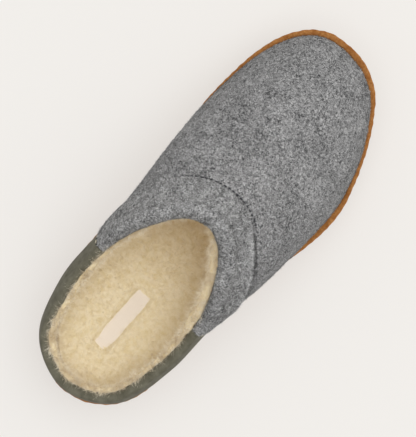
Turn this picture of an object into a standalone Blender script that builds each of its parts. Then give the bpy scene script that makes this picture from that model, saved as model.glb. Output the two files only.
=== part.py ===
"""Scuff slipper for the right foot: a hollow felt upper with a rolled collar cuff and a leather heel
counter, on a suede-wrapped platform sole with a stitched standing edge.

The tables are in millimetres. X runs to the wearer's right, which is the outer side of this shoe, Y runs
to the toe and Z up. In the tables x starts at the heel's middle and y at the back of the sole. The meshes
are in metres, with the origin under the middle of the shoe.
"""

from typing import NamedTuple

import bmesh
import bpy
import numpy as np

MM = 0.001

# Driving sizes
SOLE_LENGTH = 282.0
GAP = 0.3
WALL = 3.0
COUNTER = 1.4
INSOLE = 8.0
LABEL_WIDTH = 13.0
LABEL_LENGTH = 47.0
LABEL_THICKNESS = 0.8
LABEL_X = 1.2
LABEL_Y = 56.5

# Tips of the sole's outline
HEEL_TIP_X = 1.0
TOE_TIP_X = -6.0

# The heel counter ends where a section's foot stands at this y
SEAM_Y = 103.0
SEAM_HALF_GAP = 0.25

# Faces round the heel, round the forefoot and up the wall
REAR_FACES = 27
FRONT_FACES = 51
WALL_FACES = 10
DENSE_STEPS = 2000


class OutlineRow(NamedTuple):
    """Half widths of the sole at one y."""

    y: float
    inner: float
    outer: float


OUTLINE = (
    OutlineRow(6, 18.5, 21.5),
    OutlineRow(14, 28.5, 31.5),
    OutlineRow(24, 36.0, 38.0),
    OutlineRow(40, 41.8, 42.5),
    OutlineRow(65, 45.2, 44.6),
    OutlineRow(105, 45.6, 46.6),
    OutlineRow(145, 46.8, 51.8),
    OutlineRow(182, 49.6, 57.2),
    OutlineRow(200, 50.6, 57.0),
    OutlineRow(222, 49.4, 52.2),
    OutlineRow(245, 46.2, 43.5),
    OutlineRow(260, 41.0, 34.5),
    OutlineRow(272, 33.0, 24.0),
    OutlineRow(279, 23.2, 11.5),
)


class SoleRow(NamedTuple):
    """Height of the sole's top at one y, with the reach and height of its rounded bottom edge."""

    y: float
    top: float
    edge_reach: float
    edge_height: float


SOLE_ROWS = (
    SoleRow(0, 29.6, 14.0, 18.0),
    SoleRow(35, 29.2, 9.5, 11.5),
    SoleRow(80, 28.3, 9.0, 11.0),
    SoleRow(140, 26.0, 9.0, 11.0),
    SoleRow(182, 24.8, 9.0, 11.0),
    SoleRow(217, 25.2, 9.5, 11.0),
    SoleRow(254, 28.8, 13.0, 13.0),
    SoleRow(SOLE_LENGTH, 36.3, 16.0, 14.0),
)

TOE_SPRING = 8.5
TOE_SPRING_START = 217.0
EDGE_ANGLES = np.radians((0, 22.5, 45, 67.5, 90))


class SideRow(NamedTuple):
    """Inset of the sole's wall at a share of the height from its rounded edge to its top."""

    share: float
    inset: float


SOLE_SIDE = (SideRow(1.0, 0.5), SideRow(0.8, -0.5), SideRow(0.45, -1.1))
SOLE_BULGE = 1.2
SOLE_TOP_INSET = 12.0


class RimRow(NamedTuple):
    """Corner of a ring's section: inset from the outline and height over the sole's top."""

    inset: float
    height: float


LIP_OUTER = (RimRow(0.2, 0.0), RimRow(-0.4, 2.6), RimRow(-1.5, 4.8), RimRow(-0.4, 5.3))
LIP_INNER = (RimRow(2.3, 5.1), RimRow(3.2, 0.0))
LIP_CLEAR = 0.05
INSOLE_SECTION = (
    RimRow(0.2, 0.0),
    RimRow(0.5, 4.0),
    RimRow(2.2, 7.0),
    RimRow(4.7, INSOLE),
)


class Section(NamedTuple):
    """One curve of the upper's wall, from its foot on the sole to the collar.

    The foot stands at base_y on the outline, moved in by inset. The wall leaves it leaning out by
    lean_inner or lean_outer over a height of lean_up, passes towards the instep handle and ends at the
    collar's top line. cuff_share is how far up the cuff's lower edge lies, and crest its thickness at
    the rim.
    """

    base_y: float
    inset: float
    lean_inner: float
    lean_outer: float
    lean_up: float
    handle_inner: float
    handle_outer: float
    handle_y: float
    handle_z: float
    top_x: float
    top_y: float
    top_z: float
    cuff_share: float
    crest: float


# base_y, inset, lean inner, outer and up, handle inner, outer, y and z, top x, y and z, cuff share, crest
HEEL_BACK = Section(0, 5.2, 5, 5, 12, 0, 0, 0.6, 46, 0, 2.4, 56, 0.65, 2.2)
SIDE_SECTIONS = (
    Section(20, 5.2, 4.5, 4.5, 13, 34, 34.5, 17, 48, 30, 17.5, 59.5, 0.65, 2.2),
    Section(55, 5.2, 4.5, 4, 16, 47.5, 46, 51, 52, 39.3, 50, 66.5, 0.65, 2.2),
    Section(SEAM_Y, 5.2, 5, 4, 20, 48.5, 47, 88, 58, 40.3, 83, 74.5, 0.65, 2.2),
    Section(140, 3.5, 8, 9, 26, 51, 51.5, 118, 68, 36.5, 101, 85.5, 0.74, 4.5),
    Section(185, 3.5, 11, 7, 29, 48, 47, 150, 78, 28.5, 118, 96.5, 0.8, 6.8),
    Section(225, 3.5, 9, 10.5, 28, 37, 37, 183, 73, 19, 131.5, 102, 0.86, 7.8),
    Section(262, 3.5, 3.5, 5, 27, 15, 16, 218, 68, 10, 140.5, 103.9, 0.907, 8.3),
)
TOE_TIP = Section(SOLE_LENGTH, 3.5, 0.5, 0.5, 26, 0, 0, 233, 66.5, 1.2, 143.5, 104.4, 0.926, 8.4)


class CapRow(NamedTuple):
    """Point of a band's roll over the rim: share of the way across it and share of its rise."""

    across: float
    rise: float


WALL_SHARES = np.linspace(0.0, 1.0, WALL_FACES + 1)
CUFF_SHARES = (0.0, 0.06, 0.25, 0.45, 0.65, 0.85, 1.0)
CAP_ROWS = (
    CapRow(0.06, 0.5),
    CapRow(0.25, 0.88),
    CapRow(0.5, 1.0),
    CapRow(0.78, 0.85),
    CapRow(0.96, 0.45),
)
EDGE_TAPER = 0.6
CUFF_EDGE = 2.8
CUFF_RISE_SHARE = 0.75
CUFF_FOLD = 1.4
BAND_HOOK = 4.5


class Finish(NamedTuple):
    """Colour and surface of one piece's material."""

    name: str
    colour: str
    roughness: float


FELT = Finish("grey_felt", "#85868A", 0.95)
CUFF_FELT = Finish("grey_felt_cuff", "#8B8C90", 0.95)
NUBUCK = Finish("green_grey_nubuck", "#6B695D", 0.75)
SUEDE = Finish("tan_suede", "#99623A", 0.85)
SUEDE_EDGE = Finish("tan_suede_edge", "#86531F", 0.85)
PILE = Finish("cream_pile", "#D8C29C", 1.0)
TAPE = Finish("cream_tape", "#E8D6C2", 0.8)


class Spline:
    """Smooth curve through rows of values, closed where it has a period."""

    def __init__(self, knots, values, period=0.0):
        knots = np.asarray(knots, float)
        values = np.asarray(values, float).reshape(len(knots), -1)
        if period:
            knots = np.concatenate([knots[-2:] - period, knots, knots[:2] + period])
            values = np.concatenate([values[-2:], values, values[:2]])
        self.period = period
        self.knots = knots
        self.values = values
        self.slopes = np.gradient(values, knots, axis=0)

    def __call__(self, at):
        """Values at a number or an array of numbers, one row for each."""
        at = np.asarray(at, float)
        if self.period:
            at = at % self.period
        index = np.clip(np.searchsorted(self.knots, at, side="right") - 1, 0, len(self.knots) - 2)
        span = (self.knots[index + 1] - self.knots[index])[..., None]
        u = (at - self.knots[index])[..., None] / span
        start = self.values[index]
        rise = self.values[index + 1] - start
        leave = self.slopes[index] * span
        arrive = self.slopes[index + 1] * span
        return start + u * (leave + u * (3 * rise - 2 * leave - arrive + u * (leave + arrive - 2 * rise)))


def closed_outline():
    """The sole's outline as a closed curve over its length round, from the heel along the outer side."""
    outer = [(row.outer, row.y) for row in OUTLINE]
    inner = [(-row.inner, row.y) for row in reversed(OUTLINE)]
    points = np.array([(HEEL_TIP_X, 0.0), *outer, (TOE_TIP_X, SOLE_LENGTH), *inner])
    steps = np.linalg.norm(np.roll(points, -1, axis=0) - points, axis=1)
    knots = np.concatenate([[0.0], np.cumsum(steps)])
    return Spline(knots[:-1], points, period=knots[-1]), knots[len(outer) + 1]


OUTLINE_CURVE, TOE_AT = closed_outline()
ROUND = OUTLINE_CURVE.period
SOLE_SPLINE = Spline([row.y for row in SOLE_ROWS], [row[1:] for row in SOLE_ROWS])


def station_at(y, outer):
    """Length round the outline at which one side reaches y."""
    along = np.linspace(0.0, TOE_AT, DENSE_STEPS) if outer else np.linspace(ROUND, TOE_AT, DENSE_STEPS)
    return float(np.interp(y, OUTLINE_CURVE(along)[:, 1], along))


def sections_curve():
    """The upper's sections as one closed curve of (inset, lean, up, handle, top, cuff_share, crest)."""
    knots = []
    rows = []

    def add(section, at, side):
        lean = section.lean_outer if side > 0 else section.lean_inner
        handle = section.handle_outer if side > 0 else section.handle_inner
        knots.append(at)
        rows.append(
            (section.inset, lean, section.lean_up)
            + (side * handle, section.handle_y, section.handle_z)
            + (side * section.top_x, section.top_y, section.top_z)
            + (section.cuff_share, section.crest)
        )

    add(HEEL_BACK, 0.0, 1)
    for section in SIDE_SECTIONS:
        add(section, station_at(section.base_y, True), 1)
    add(TOE_TIP, TOE_AT, 1)
    for section in reversed(SIDE_SECTIONS):
        add(section, station_at(section.base_y, False), -1)
    return Spline(knots, rows, period=ROUND)


SECTIONS = sections_curve()


class WallRows(NamedTuple):
    """The upper's sections at places round it, one array for each value."""

    inset: np.ndarray
    lean: np.ndarray
    lean_up: np.ndarray
    handle: np.ndarray
    top: np.ndarray
    cuff_share: np.ndarray
    crest: np.ndarray


def wall_rows(at):
    """The sections' values at the given places round the outline."""
    row = SECTIONS(at)
    return WallRows(row[:, 0], row[:, 1], row[:, 2], row[:, 3:6], row[:, 6:9], row[:, 9], row[:, 10])


def stations():
    """Places round the outline: (whole ring, round the heel, round the forefoot).

    The ring starts beside the heel's middle on the outer side, so that its point j faces the point
    as far from its end.
    """
    inner_seam = station_at(SEAM_Y, False) - ROUND
    outer_seam = station_at(SEAM_Y, True)
    rear = np.linspace(inner_seam, outer_seam, REAR_FACES + 1)
    front = np.linspace(outer_seam, inner_seam + ROUND, FRONT_FACES + 1)
    half = len(rear) // 2
    ring = np.concatenate([rear[half:], front[1:-1], rear[:half] + ROUND])
    return ring, rear, front


def inset_outline(at, inset):
    """Points of the outline at the given places, moved in by inset."""
    step = 0.05
    ahead = OUTLINE_CURVE(at + step) - OUTLINE_CURVE(at - step)
    ahead /= np.linalg.norm(ahead, axis=1)[:, None]
    outward = np.stack([ahead[:, 1], -ahead[:, 0]], axis=1)
    return OUTLINE_CURVE(at) - outward * np.reshape(inset, (-1, 1)), outward


def sole_top(y):
    """Height of the sole's top."""
    return SOLE_SPLINE(y)[:, 0]


def sole_bottom(y):
    """Height of the sole's bottom face: flat, then rising in the toe spring."""
    past = np.clip((y - TOE_SPRING_START) / (SOLE_LENGTH - TOE_SPRING_START), 0.0, None)
    return TOE_SPRING * past**2


def on_sole(flat_points, height):
    """Points over the sole's top at the given height."""
    y = flat_points[:, 1]
    return np.column_stack([flat_points, sole_top(y) + height])


def wall_curve(at, share):
    """Points of the upper's outer face at the places round it and the share of the way up."""
    rows = wall_rows(at)
    flat, outward = inset_outline(at, rows.inset)
    foot = on_sole(flat, GAP)
    shoulder = foot + np.column_stack([outward * rows.lean[:, None], rows.lean_up])
    share = np.reshape(share, (-1, 1))
    rest = 1.0 - share
    low = rest**3 * foot + 3 * rest**2 * share * shoulder
    return low + 3 * rest * share**2 * rows.handle + share**3 * rows.top


def wall_frame(at, share):
    """Outward normal and upward direction of the upper's outer face."""
    step = 0.4
    share_step = 0.004
    round_way = wall_curve(at + step, share) - wall_curve(at - step, share)
    up_way = wall_curve(at, share + share_step) - wall_curve(at, share - share_step)
    normal = np.cross(round_way, up_way)
    normal /= np.linalg.norm(normal, axis=1)[:, None]
    return normal, up_way / np.linalg.norm(up_way, axis=1)[:, None]


def wall_point(at, share, offset):
    """Points at a distance outside the upper's outer face. At the foot they stay on the sole."""
    offset = np.reshape(offset, (-1, 1))
    share = np.broadcast_to(share, at.shape)
    normal, _ = wall_frame(at, share)
    points = wall_curve(at, share) + normal * offset
    foot = share == 0.0
    if foot.any():
        flat, outward = inset_outline(at[foot], wall_rows(at[foot]).inset)
        points[foot] = on_sole(flat + outward * np.broadcast_to(offset, (len(at), 1))[foot], GAP)
    return points


def rim_point(at, offset, rise):
    """Points beside the collar's top line: offset outward from the wall, rise on up along it."""
    rim = np.ones_like(at)
    normal, up_way = wall_frame(at, rim)
    return wall_curve(at, rim) + normal * np.reshape(offset, (-1, 1)) + up_way * np.reshape(rise, (-1, 1))


def share_under_rim(at, drop):
    """Share of the way up the wall at a distance under the rim."""
    step = 0.01
    rim = np.ones_like(at)
    speed = np.linalg.norm(wall_curve(at, rim) - wall_curve(at, rim - step), axis=1) / step
    return rim - drop / speed


def shoe_centre():
    """Middle of the outline's box."""
    points = OUTLINE_CURVE(np.linspace(0.0, ROUND, DENSE_STEPS))
    return (points.min(axis=0) + points.max(axis=0)) / 2


CENTRE = np.array([*shoe_centre(), 0.0])


def new_material(finish):
    """Principled material of one finish."""
    channels = [int(finish.colour[i : i + 2], 16) / 255 for i in (1, 3, 5)]
    linear = [c / 12.92 if c <= 0.04045 else ((c + 0.055) / 1.055) ** 2.4 for c in channels]
    material = bpy.data.materials.new(finish.name)
    material.use_nodes = True
    shader = material.node_tree.nodes["Principled BSDF"]
    shader.inputs["Base Color"].default_value = (*linear, 1.0)
    shader.inputs["Roughness"].default_value = finish.roughness
    shader.inputs["Metallic"].default_value = 0.0
    return material


def loft(name, loops, joined, finish, parent):
    """Solid through loops of points of one length. Its ends are joined to each other, or capped by a
    ladder of faces between the points that face each other."""
    bm = bmesh.new()
    rows = [[bm.verts.new((point - CENTRE) * MM) for point in loop] for loop in loops]
    count = len(rows[0])
    pairs = list(zip(rows, rows[1:] + rows[:1] if joined else rows[1:]))
    for row, following in pairs:
        for j in range(count):
            after = (j + 1) % count
            bm.faces.new((row[j], row[after], following[after], following[j]))
    if not joined:
        for row in (rows[0], rows[-1]):
            for j in range(count // 2 - 1):
                bm.faces.new((row[j], row[j + 1], row[count - 2 - j], row[count - 1 - j]))
    bmesh.ops.recalc_face_normals(bm, faces=bm.faces)
    mesh = bpy.data.meshes.new(name)
    bm.to_mesh(mesh)
    bm.free()
    mesh.shade_smooth()
    mesh.set_sharp_from_angle(angle=np.radians(40))
    mesh.materials.append(new_material(finish))
    piece = bpy.data.objects.new(name, mesh)
    bpy.context.scene.collection.objects.link(piece)
    piece.parent = parent
    return piece


def make_sole(ring, parent):
    """Platform with a slightly bulged wall, a rounded bottom edge, a flat bottom and toe spring."""
    at_edge = SOLE_SPLINE(OUTLINE_CURVE(ring)[:, 1])
    reach = at_edge[:, 1]
    height = at_edge[:, 2]
    loops = [on_sole(inset_outline(ring, SOLE_TOP_INSET)[0], 0.0)]
    for row in SOLE_SIDE:
        flat, _ = inset_outline(ring, row.inset)
        low = sole_bottom(flat[:, 1]) + height
        loops.append(np.column_stack([flat, low + row.share * (sole_top(flat[:, 1]) - low)]))
    for angle in EDGE_ANGLES:
        flat, _ = inset_outline(ring, reach * (1.0 - np.cos(angle)) - SOLE_BULGE)
        loops.append(np.column_stack([flat, sole_bottom(flat[:, 1]) + height * (1.0 - np.sin(angle))]))
    return loft("sole", loops, False, SUEDE, parent)


def make_lip(ring, parent):
    """Standing edge sewn round the sole's top, leaning out as far as the wall beside it does."""
    rows = wall_rows(ring)
    slope = rows.lean / rows.lean_up + LIP_CLEAR
    loops = [on_sole(inset_outline(ring, row.inset)[0], GAP + row.height) for row in LIP_OUTER]
    for row in LIP_INNER:
        inset = np.minimum(row.inset, LIP_INNER[-1].inset - slope * row.height)
        loops.append(on_sole(inset_outline(ring, inset)[0], GAP + row.height))
    return loft("rand_lip", loops, True, SUEDE_EDGE, parent)


def make_upper(ring, parent):
    """Hollow wall: up its outer face, over the rim and down its inner face."""
    outer = [wall_point(ring, share, 0.0) for share in WALL_SHARES]
    inner = [wall_point(ring, share, -WALL) for share in reversed(WALL_SHARES)]
    return loft("upper", outer + inner, True, FELT, parent)


def make_insole(ring, parent):
    """Footbed inside the upper's foot."""
    foot_inset = wall_rows(ring).inset + WALL + GAP
    loops = []
    for row in INSOLE_SECTION:
        flat, _ = inset_outline(ring, foot_inset + row.inset)
        loops.append(on_sole(flat, GAP + row.height))
    return loft("insole", loops, False, PILE, parent)


def make_label(parent):
    """Blank patch along the footbed."""
    half = LABEL_WIDTH / 2
    loops = []
    for y in np.linspace(LABEL_Y - LABEL_LENGTH / 2, LABEL_Y + LABEL_LENGTH / 2, 5):
        low = GAP + INSOLE + GAP
        high = low + LABEL_THICKNESS
        corners = ((-half, low), (half, low), (half, high), (-half, high))
        loops.append(np.vstack([on_sole(np.array([[LABEL_X + x, y]]), height) for x, height in corners]))
    return loft("insole_label", loops, False, TAPE, parent)


class BandSizes(NamedTuple):
    """A band's thickness at its lower edge, at the rim and inside, and its rise over the rim."""

    edge: np.ndarray
    crest: np.ndarray
    rise: np.ndarray
    fold: float


def make_band(name, along, start_share, shares, sizes, finish, parent):
    """Overlay on the wall from start_share up to the rim, rolled over the rim and down inside it.

    shares are the steps up its outer face.
    """
    along = along.copy()
    along[0] += SEAM_HALF_GAP
    along[-1] -= SEAM_HALF_GAP
    outside = []
    inside = []
    for share in shares:
        up_wall = start_share + share * (1.0 - start_share)
        taper = EDGE_TAPER if share == 0.0 else 1.0
        thickness = sizes.edge + share * (sizes.crest - sizes.edge)
        outside.append(wall_point(along, up_wall, GAP + taper * thickness))
        inside.append(wall_point(along, up_wall, GAP))
    outer_face = GAP + sizes.crest
    inner_face = -WALL - GAP
    for row in CAP_ROWS:
        across = outer_face + row.across * (inner_face - sizes.fold - outer_face)
        outside.append(rim_point(along, across, GAP + row.rise * sizes.rise))
    for clear in np.linspace(GAP, inner_face, len(CAP_ROWS)):
        inside.append(rim_point(along, clear, GAP))
    for drop in (0.0, BAND_HOOK):
        under = share_under_rim(along, drop)
        outside.append(wall_point(along, under, inner_face - sizes.fold))
        inside.append(wall_point(along, under, inner_face))
    section = np.stack(outside + inside[::-1], axis=1)
    return loft(name, list(section), False, finish, parent)


def make_cuff(front, parent):
    """Felt band round the throat, thin at the seams and puffed at the instep."""
    rows = wall_rows(front)
    edge = np.minimum(CUFF_EDGE, rows.crest)
    rise = CUFF_RISE_SHARE * rows.crest
    sizes = BandSizes(edge, rows.crest, rise, CUFF_FOLD)
    return make_band("collar_cuff", front, rows.cuff_share, CUFF_SHARES, sizes, CUFF_FELT, parent)


def make_counter(rear, parent):
    """Leather round the heel, from the sole to the rim and over it."""
    sizes = BandSizes(COUNTER, COUNTER, COUNTER, COUNTER)
    return make_band("heel_counter", rear, np.zeros_like(rear), WALL_SHARES, sizes, NUBUCK, parent)


def main():
    """Clears the scene and builds the slipper."""
    for old in list(bpy.data.objects):
        bpy.data.objects.remove(old, do_unlink=True)
    ring, rear, front = stations()
    slipper = bpy.data.objects.new("scuff_slipper", None)
    bpy.context.scene.collection.objects.link(slipper)
    make_sole(ring, slipper)
    make_lip(ring, slipper)
    make_upper(ring, slipper)
    make_insole(ring, slipper)
    make_label(slipper)
    make_cuff(front, slipper)
    make_counter(rear, slipper)


main()
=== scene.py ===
"""Looks of the scuff slipper for the right foot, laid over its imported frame.

Sizes are millimetres in the shoe's own tables: x from the middle of the heel to the wearer's right, which
is the outer side, y from the back of the sole to the toe, and z up. A place round the shoe, called at, is
the length along the sole's outline from the heel's back by the outer side. Meshes are metres in the frame.
"""

import itertools
import logging
import math
from dataclasses import dataclass, field
from enum import Enum, IntEnum
from typing import Callable, NamedTuple

import bmesh
import bpy
import numpy as np
from bpy.types import NodeSocket, NodeTree
from mathutils import Matrix, Vector


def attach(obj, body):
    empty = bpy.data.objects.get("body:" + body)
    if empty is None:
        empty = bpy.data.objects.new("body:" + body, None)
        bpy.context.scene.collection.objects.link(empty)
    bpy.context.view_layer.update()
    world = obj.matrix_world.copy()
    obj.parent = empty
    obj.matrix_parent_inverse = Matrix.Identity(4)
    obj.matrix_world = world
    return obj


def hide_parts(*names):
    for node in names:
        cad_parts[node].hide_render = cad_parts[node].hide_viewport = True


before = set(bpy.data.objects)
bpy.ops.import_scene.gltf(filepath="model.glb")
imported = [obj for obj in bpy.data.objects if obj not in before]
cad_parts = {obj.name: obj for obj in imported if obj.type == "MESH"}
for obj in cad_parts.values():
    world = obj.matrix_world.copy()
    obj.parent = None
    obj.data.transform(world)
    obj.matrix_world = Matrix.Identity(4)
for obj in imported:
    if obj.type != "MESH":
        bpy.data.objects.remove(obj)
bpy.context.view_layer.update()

LOG = logging.getLogger("slipper")
MM = 0.001
WELD = 1e-6
BODY = "root"
NOISE_CELLS = 32
CREASE_END = 0.15
# Small steps over which directions are measured: round the shoe, in rows of a mesh, and along a seam.
ROUND_STEP = 0.4
ROW_STEP = 0.3
SEAM_STEP = 0.5

Array = np.ndarray
Surface = Callable[[Array, Array], Array]
Pair = tuple[float, float]
Triple = tuple[float, float, float]


class Slot(Enum):
    """Material slots of the record."""

    SUEDE_WRAP = "suede_wrap"
    SUEDE_EDGE = "suede_edge"
    GREY_FELT = "grey_felt"
    NUBUCK = "nubuck"
    CREAM_PILE = "cream_pile"
    LABEL_TAPE = "label_tape"


class Side(Enum):
    """Side of the shoe, with the sign of x there."""

    OUTER = 1
    INNER = -1


class Column(IntEnum):
    """First columns of what a section of the upper's wall holds."""

    INSET = 0
    LEAN = 1
    LEAN_UP = 2
    HANDLE = 3
    TOP = 6
    CUFF_SHARE = 9
    CREST = 10


class OutlineRow(NamedTuple):
    """Half widths of the sole at one y."""

    y: float
    inner: float
    outer: float


class SoleRow(NamedTuple):
    """Height of the sole's top at one y, with the reach and height of its rounded bottom edge."""

    y: float
    top: float
    edge_reach: float
    edge_height: float


class RimRow(NamedTuple):
    """Corner of a ring's section: inset from the outline and height over the sole's top."""

    inset: float
    height: float


class Section(NamedTuple):
    """One curve of the upper's wall, from its foot on the sole to the collar."""

    base_y: float
    inset: float
    lean_inner: float
    lean_outer: float
    lean_up: float
    handle_inner: float
    handle_outer: float
    handle_y: float
    handle_z: float
    top_x: float
    top_y: float
    top_z: float
    cuff_share: float
    crest: float


class Crease(NamedTuple):
    """Soft trough, or ridge where its depth is negative, between two points seen from above."""

    from_x: float
    from_y: float
    to_x: float
    to_y: float
    width: float
    depth: float


class Lump(NamedTuple):
    """Soft unevenness: the width and height of its lumps, and the seed of their pattern."""

    size: float
    height: float
    seed: int


OUTLINE = (
    OutlineRow(6, 18.5, 21.5),
    OutlineRow(14, 28.5, 31.5),
    OutlineRow(24, 36.0, 38.0),
    OutlineRow(40, 41.8, 42.5),
    OutlineRow(65, 45.2, 44.6),
    OutlineRow(105, 45.6, 46.6),
    OutlineRow(145, 46.8, 51.8),
    OutlineRow(182, 49.6, 57.2),
    OutlineRow(200, 50.6, 57.0),
    OutlineRow(222, 49.4, 52.2),
    OutlineRow(245, 46.2, 43.5),
    OutlineRow(260, 41.0, 34.5),
    OutlineRow(272, 33.0, 24.0),
    OutlineRow(279, 23.2, 11.5),
)
SOLE_ROWS = (
    SoleRow(0, 29.6, 14.0, 18.0),
    SoleRow(35, 29.2, 9.5, 11.5),
    SoleRow(80, 28.3, 9.0, 11.0),
    SoleRow(140, 26.0, 9.0, 11.0),
    SoleRow(182, 24.8, 9.0, 11.0),
    SoleRow(217, 25.2, 9.5, 11.0),
    SoleRow(254, 28.8, 13.0, 13.0),
    SoleRow(282, 36.3, 16.0, 14.0),
)
# base_y, inset, lean inner, outer and up, handle inner, outer, y and z, top x, y and z, cuff share, crest
HEEL_BACK = Section(0, 5.2, 5, 5, 12, 0, 0, 0.6, 46, 0, 2.4, 56, 0.65, 2.2)
SIDE_SECTIONS = (
    Section(20, 5.2, 4.5, 4.5, 13, 34, 34.5, 17, 48, 30, 17.5, 59.5, 0.65, 2.2),
    Section(55, 5.2, 4.5, 4, 16, 47.5, 46, 51, 52, 39.3, 50, 66.5, 0.65, 2.2),
    Section(103, 5.2, 5, 4, 20, 48.5, 47, 88, 58, 40.3, 83, 74.5, 0.65, 2.2),
    Section(140, 3.5, 8, 9, 26, 51, 51.5, 118, 68, 36.5, 101, 85.5, 0.74, 4.5),
    Section(185, 3.5, 11, 7, 29, 48, 47, 150, 78, 29.6, 118, 96.5, 0.8, 6.8),
    Section(225, 3.5, 9, 10.5, 28, 37, 37, 183, 73, 20.8, 131.5, 102, 0.86, 7.8),
    Section(262, 3.5, 3.5, 5, 27, 15, 16, 218, 68, 11.6, 139.4, 103.9, 0.907, 8.3),
)
TOE_TIP = Section(282, 3.5, 0.5, 0.5, 26, 0, 0, 233, 66.5, 0.6, 143.2, 104.4, 0.926, 8.4)


def ramp(distance: Array, run: float) -> Array:
    """Share that grows from 0 to 1 over a run."""
    return np.clip(distance / run, 0.0, 1.0)


def bell(distance: Array, width: float) -> Array:
    """Share that falls off on both sides of 0."""
    return np.exp(-((distance / width) ** 2))


def rounded(share: Array) -> Array:
    """Height of a quarter round at each share of its width."""
    return np.sqrt(1.0 - (1.0 - share) ** 2)


def unit(vectors: Array) -> Array:
    """Vectors brought to a length of one."""
    return vectors / np.linalg.norm(vectors, axis=1)[:, None]


def reach_along(points: Array) -> Array:
    """Length along a line of points up to each of them."""
    return np.concatenate([[0.0], np.cumsum(np.linalg.norm(np.diff(points, axis=0), axis=1))])


def surface_frame(surface: Surface, at: Array, row: Array) -> tuple[Array, Array]:
    """Directions on a surface that is laid out in rows.

    Args:
        surface: gives points from places round the shoe and rows.
        at: places round the shoe.
        row: rows, whole or not.

    Returns:
        The normals and the directions along growing rows.
    """
    rows_way = surface(at, row + ROW_STEP) - surface(at, row - ROW_STEP)
    round_way = surface(at + ROUND_STEP, row) - surface(at - ROUND_STEP, row)
    return unit(np.cross(round_way, rows_way)), unit(rows_way)


class Spline:
    """Smooth curve through rows of values, closed where it has a period."""

    def __init__(self, knots: Array, values: Array, period: float = 0.0) -> None:
        """Works out the slopes.

        Args:
            knots: rising places along the curve.
            values: one row of values for each knot.
            period: length after which the curve repeats, or 0.
        """
        knots = np.asarray(knots, float)
        values = np.asarray(values, float).reshape(len(knots), -1)
        if period:
            knots = np.concatenate([knots[-2:] - period, knots, knots[:2] + period])
            values = np.concatenate([values[-2:], values, values[:2]])
        self.period = period
        self.knots = knots
        self.values = values
        self.slopes = np.gradient(values, knots, axis=0)

    def __call__(self, at: Array) -> Array:
        """Reads the curve.

        Args:
            at: places along it.

        Returns:
            One row of values for each place.
        """
        at = np.asarray(at, float)
        if self.period:
            at = at % self.period
        index = np.clip(np.searchsorted(self.knots, at, side="right") - 1, 0, len(self.knots) - 2)
        span = (self.knots[index + 1] - self.knots[index])[..., None]
        u = (at - self.knots[index])[..., None] / span
        start = self.values[index]
        rise = self.values[index + 1] - start
        leave = self.slopes[index] * span
        arrive = self.slopes[index + 1] * span
        return start + u * (leave + u * (3 * rise - 2 * leave - arrive + u * (leave + arrive - 2 * rise)))


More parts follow.
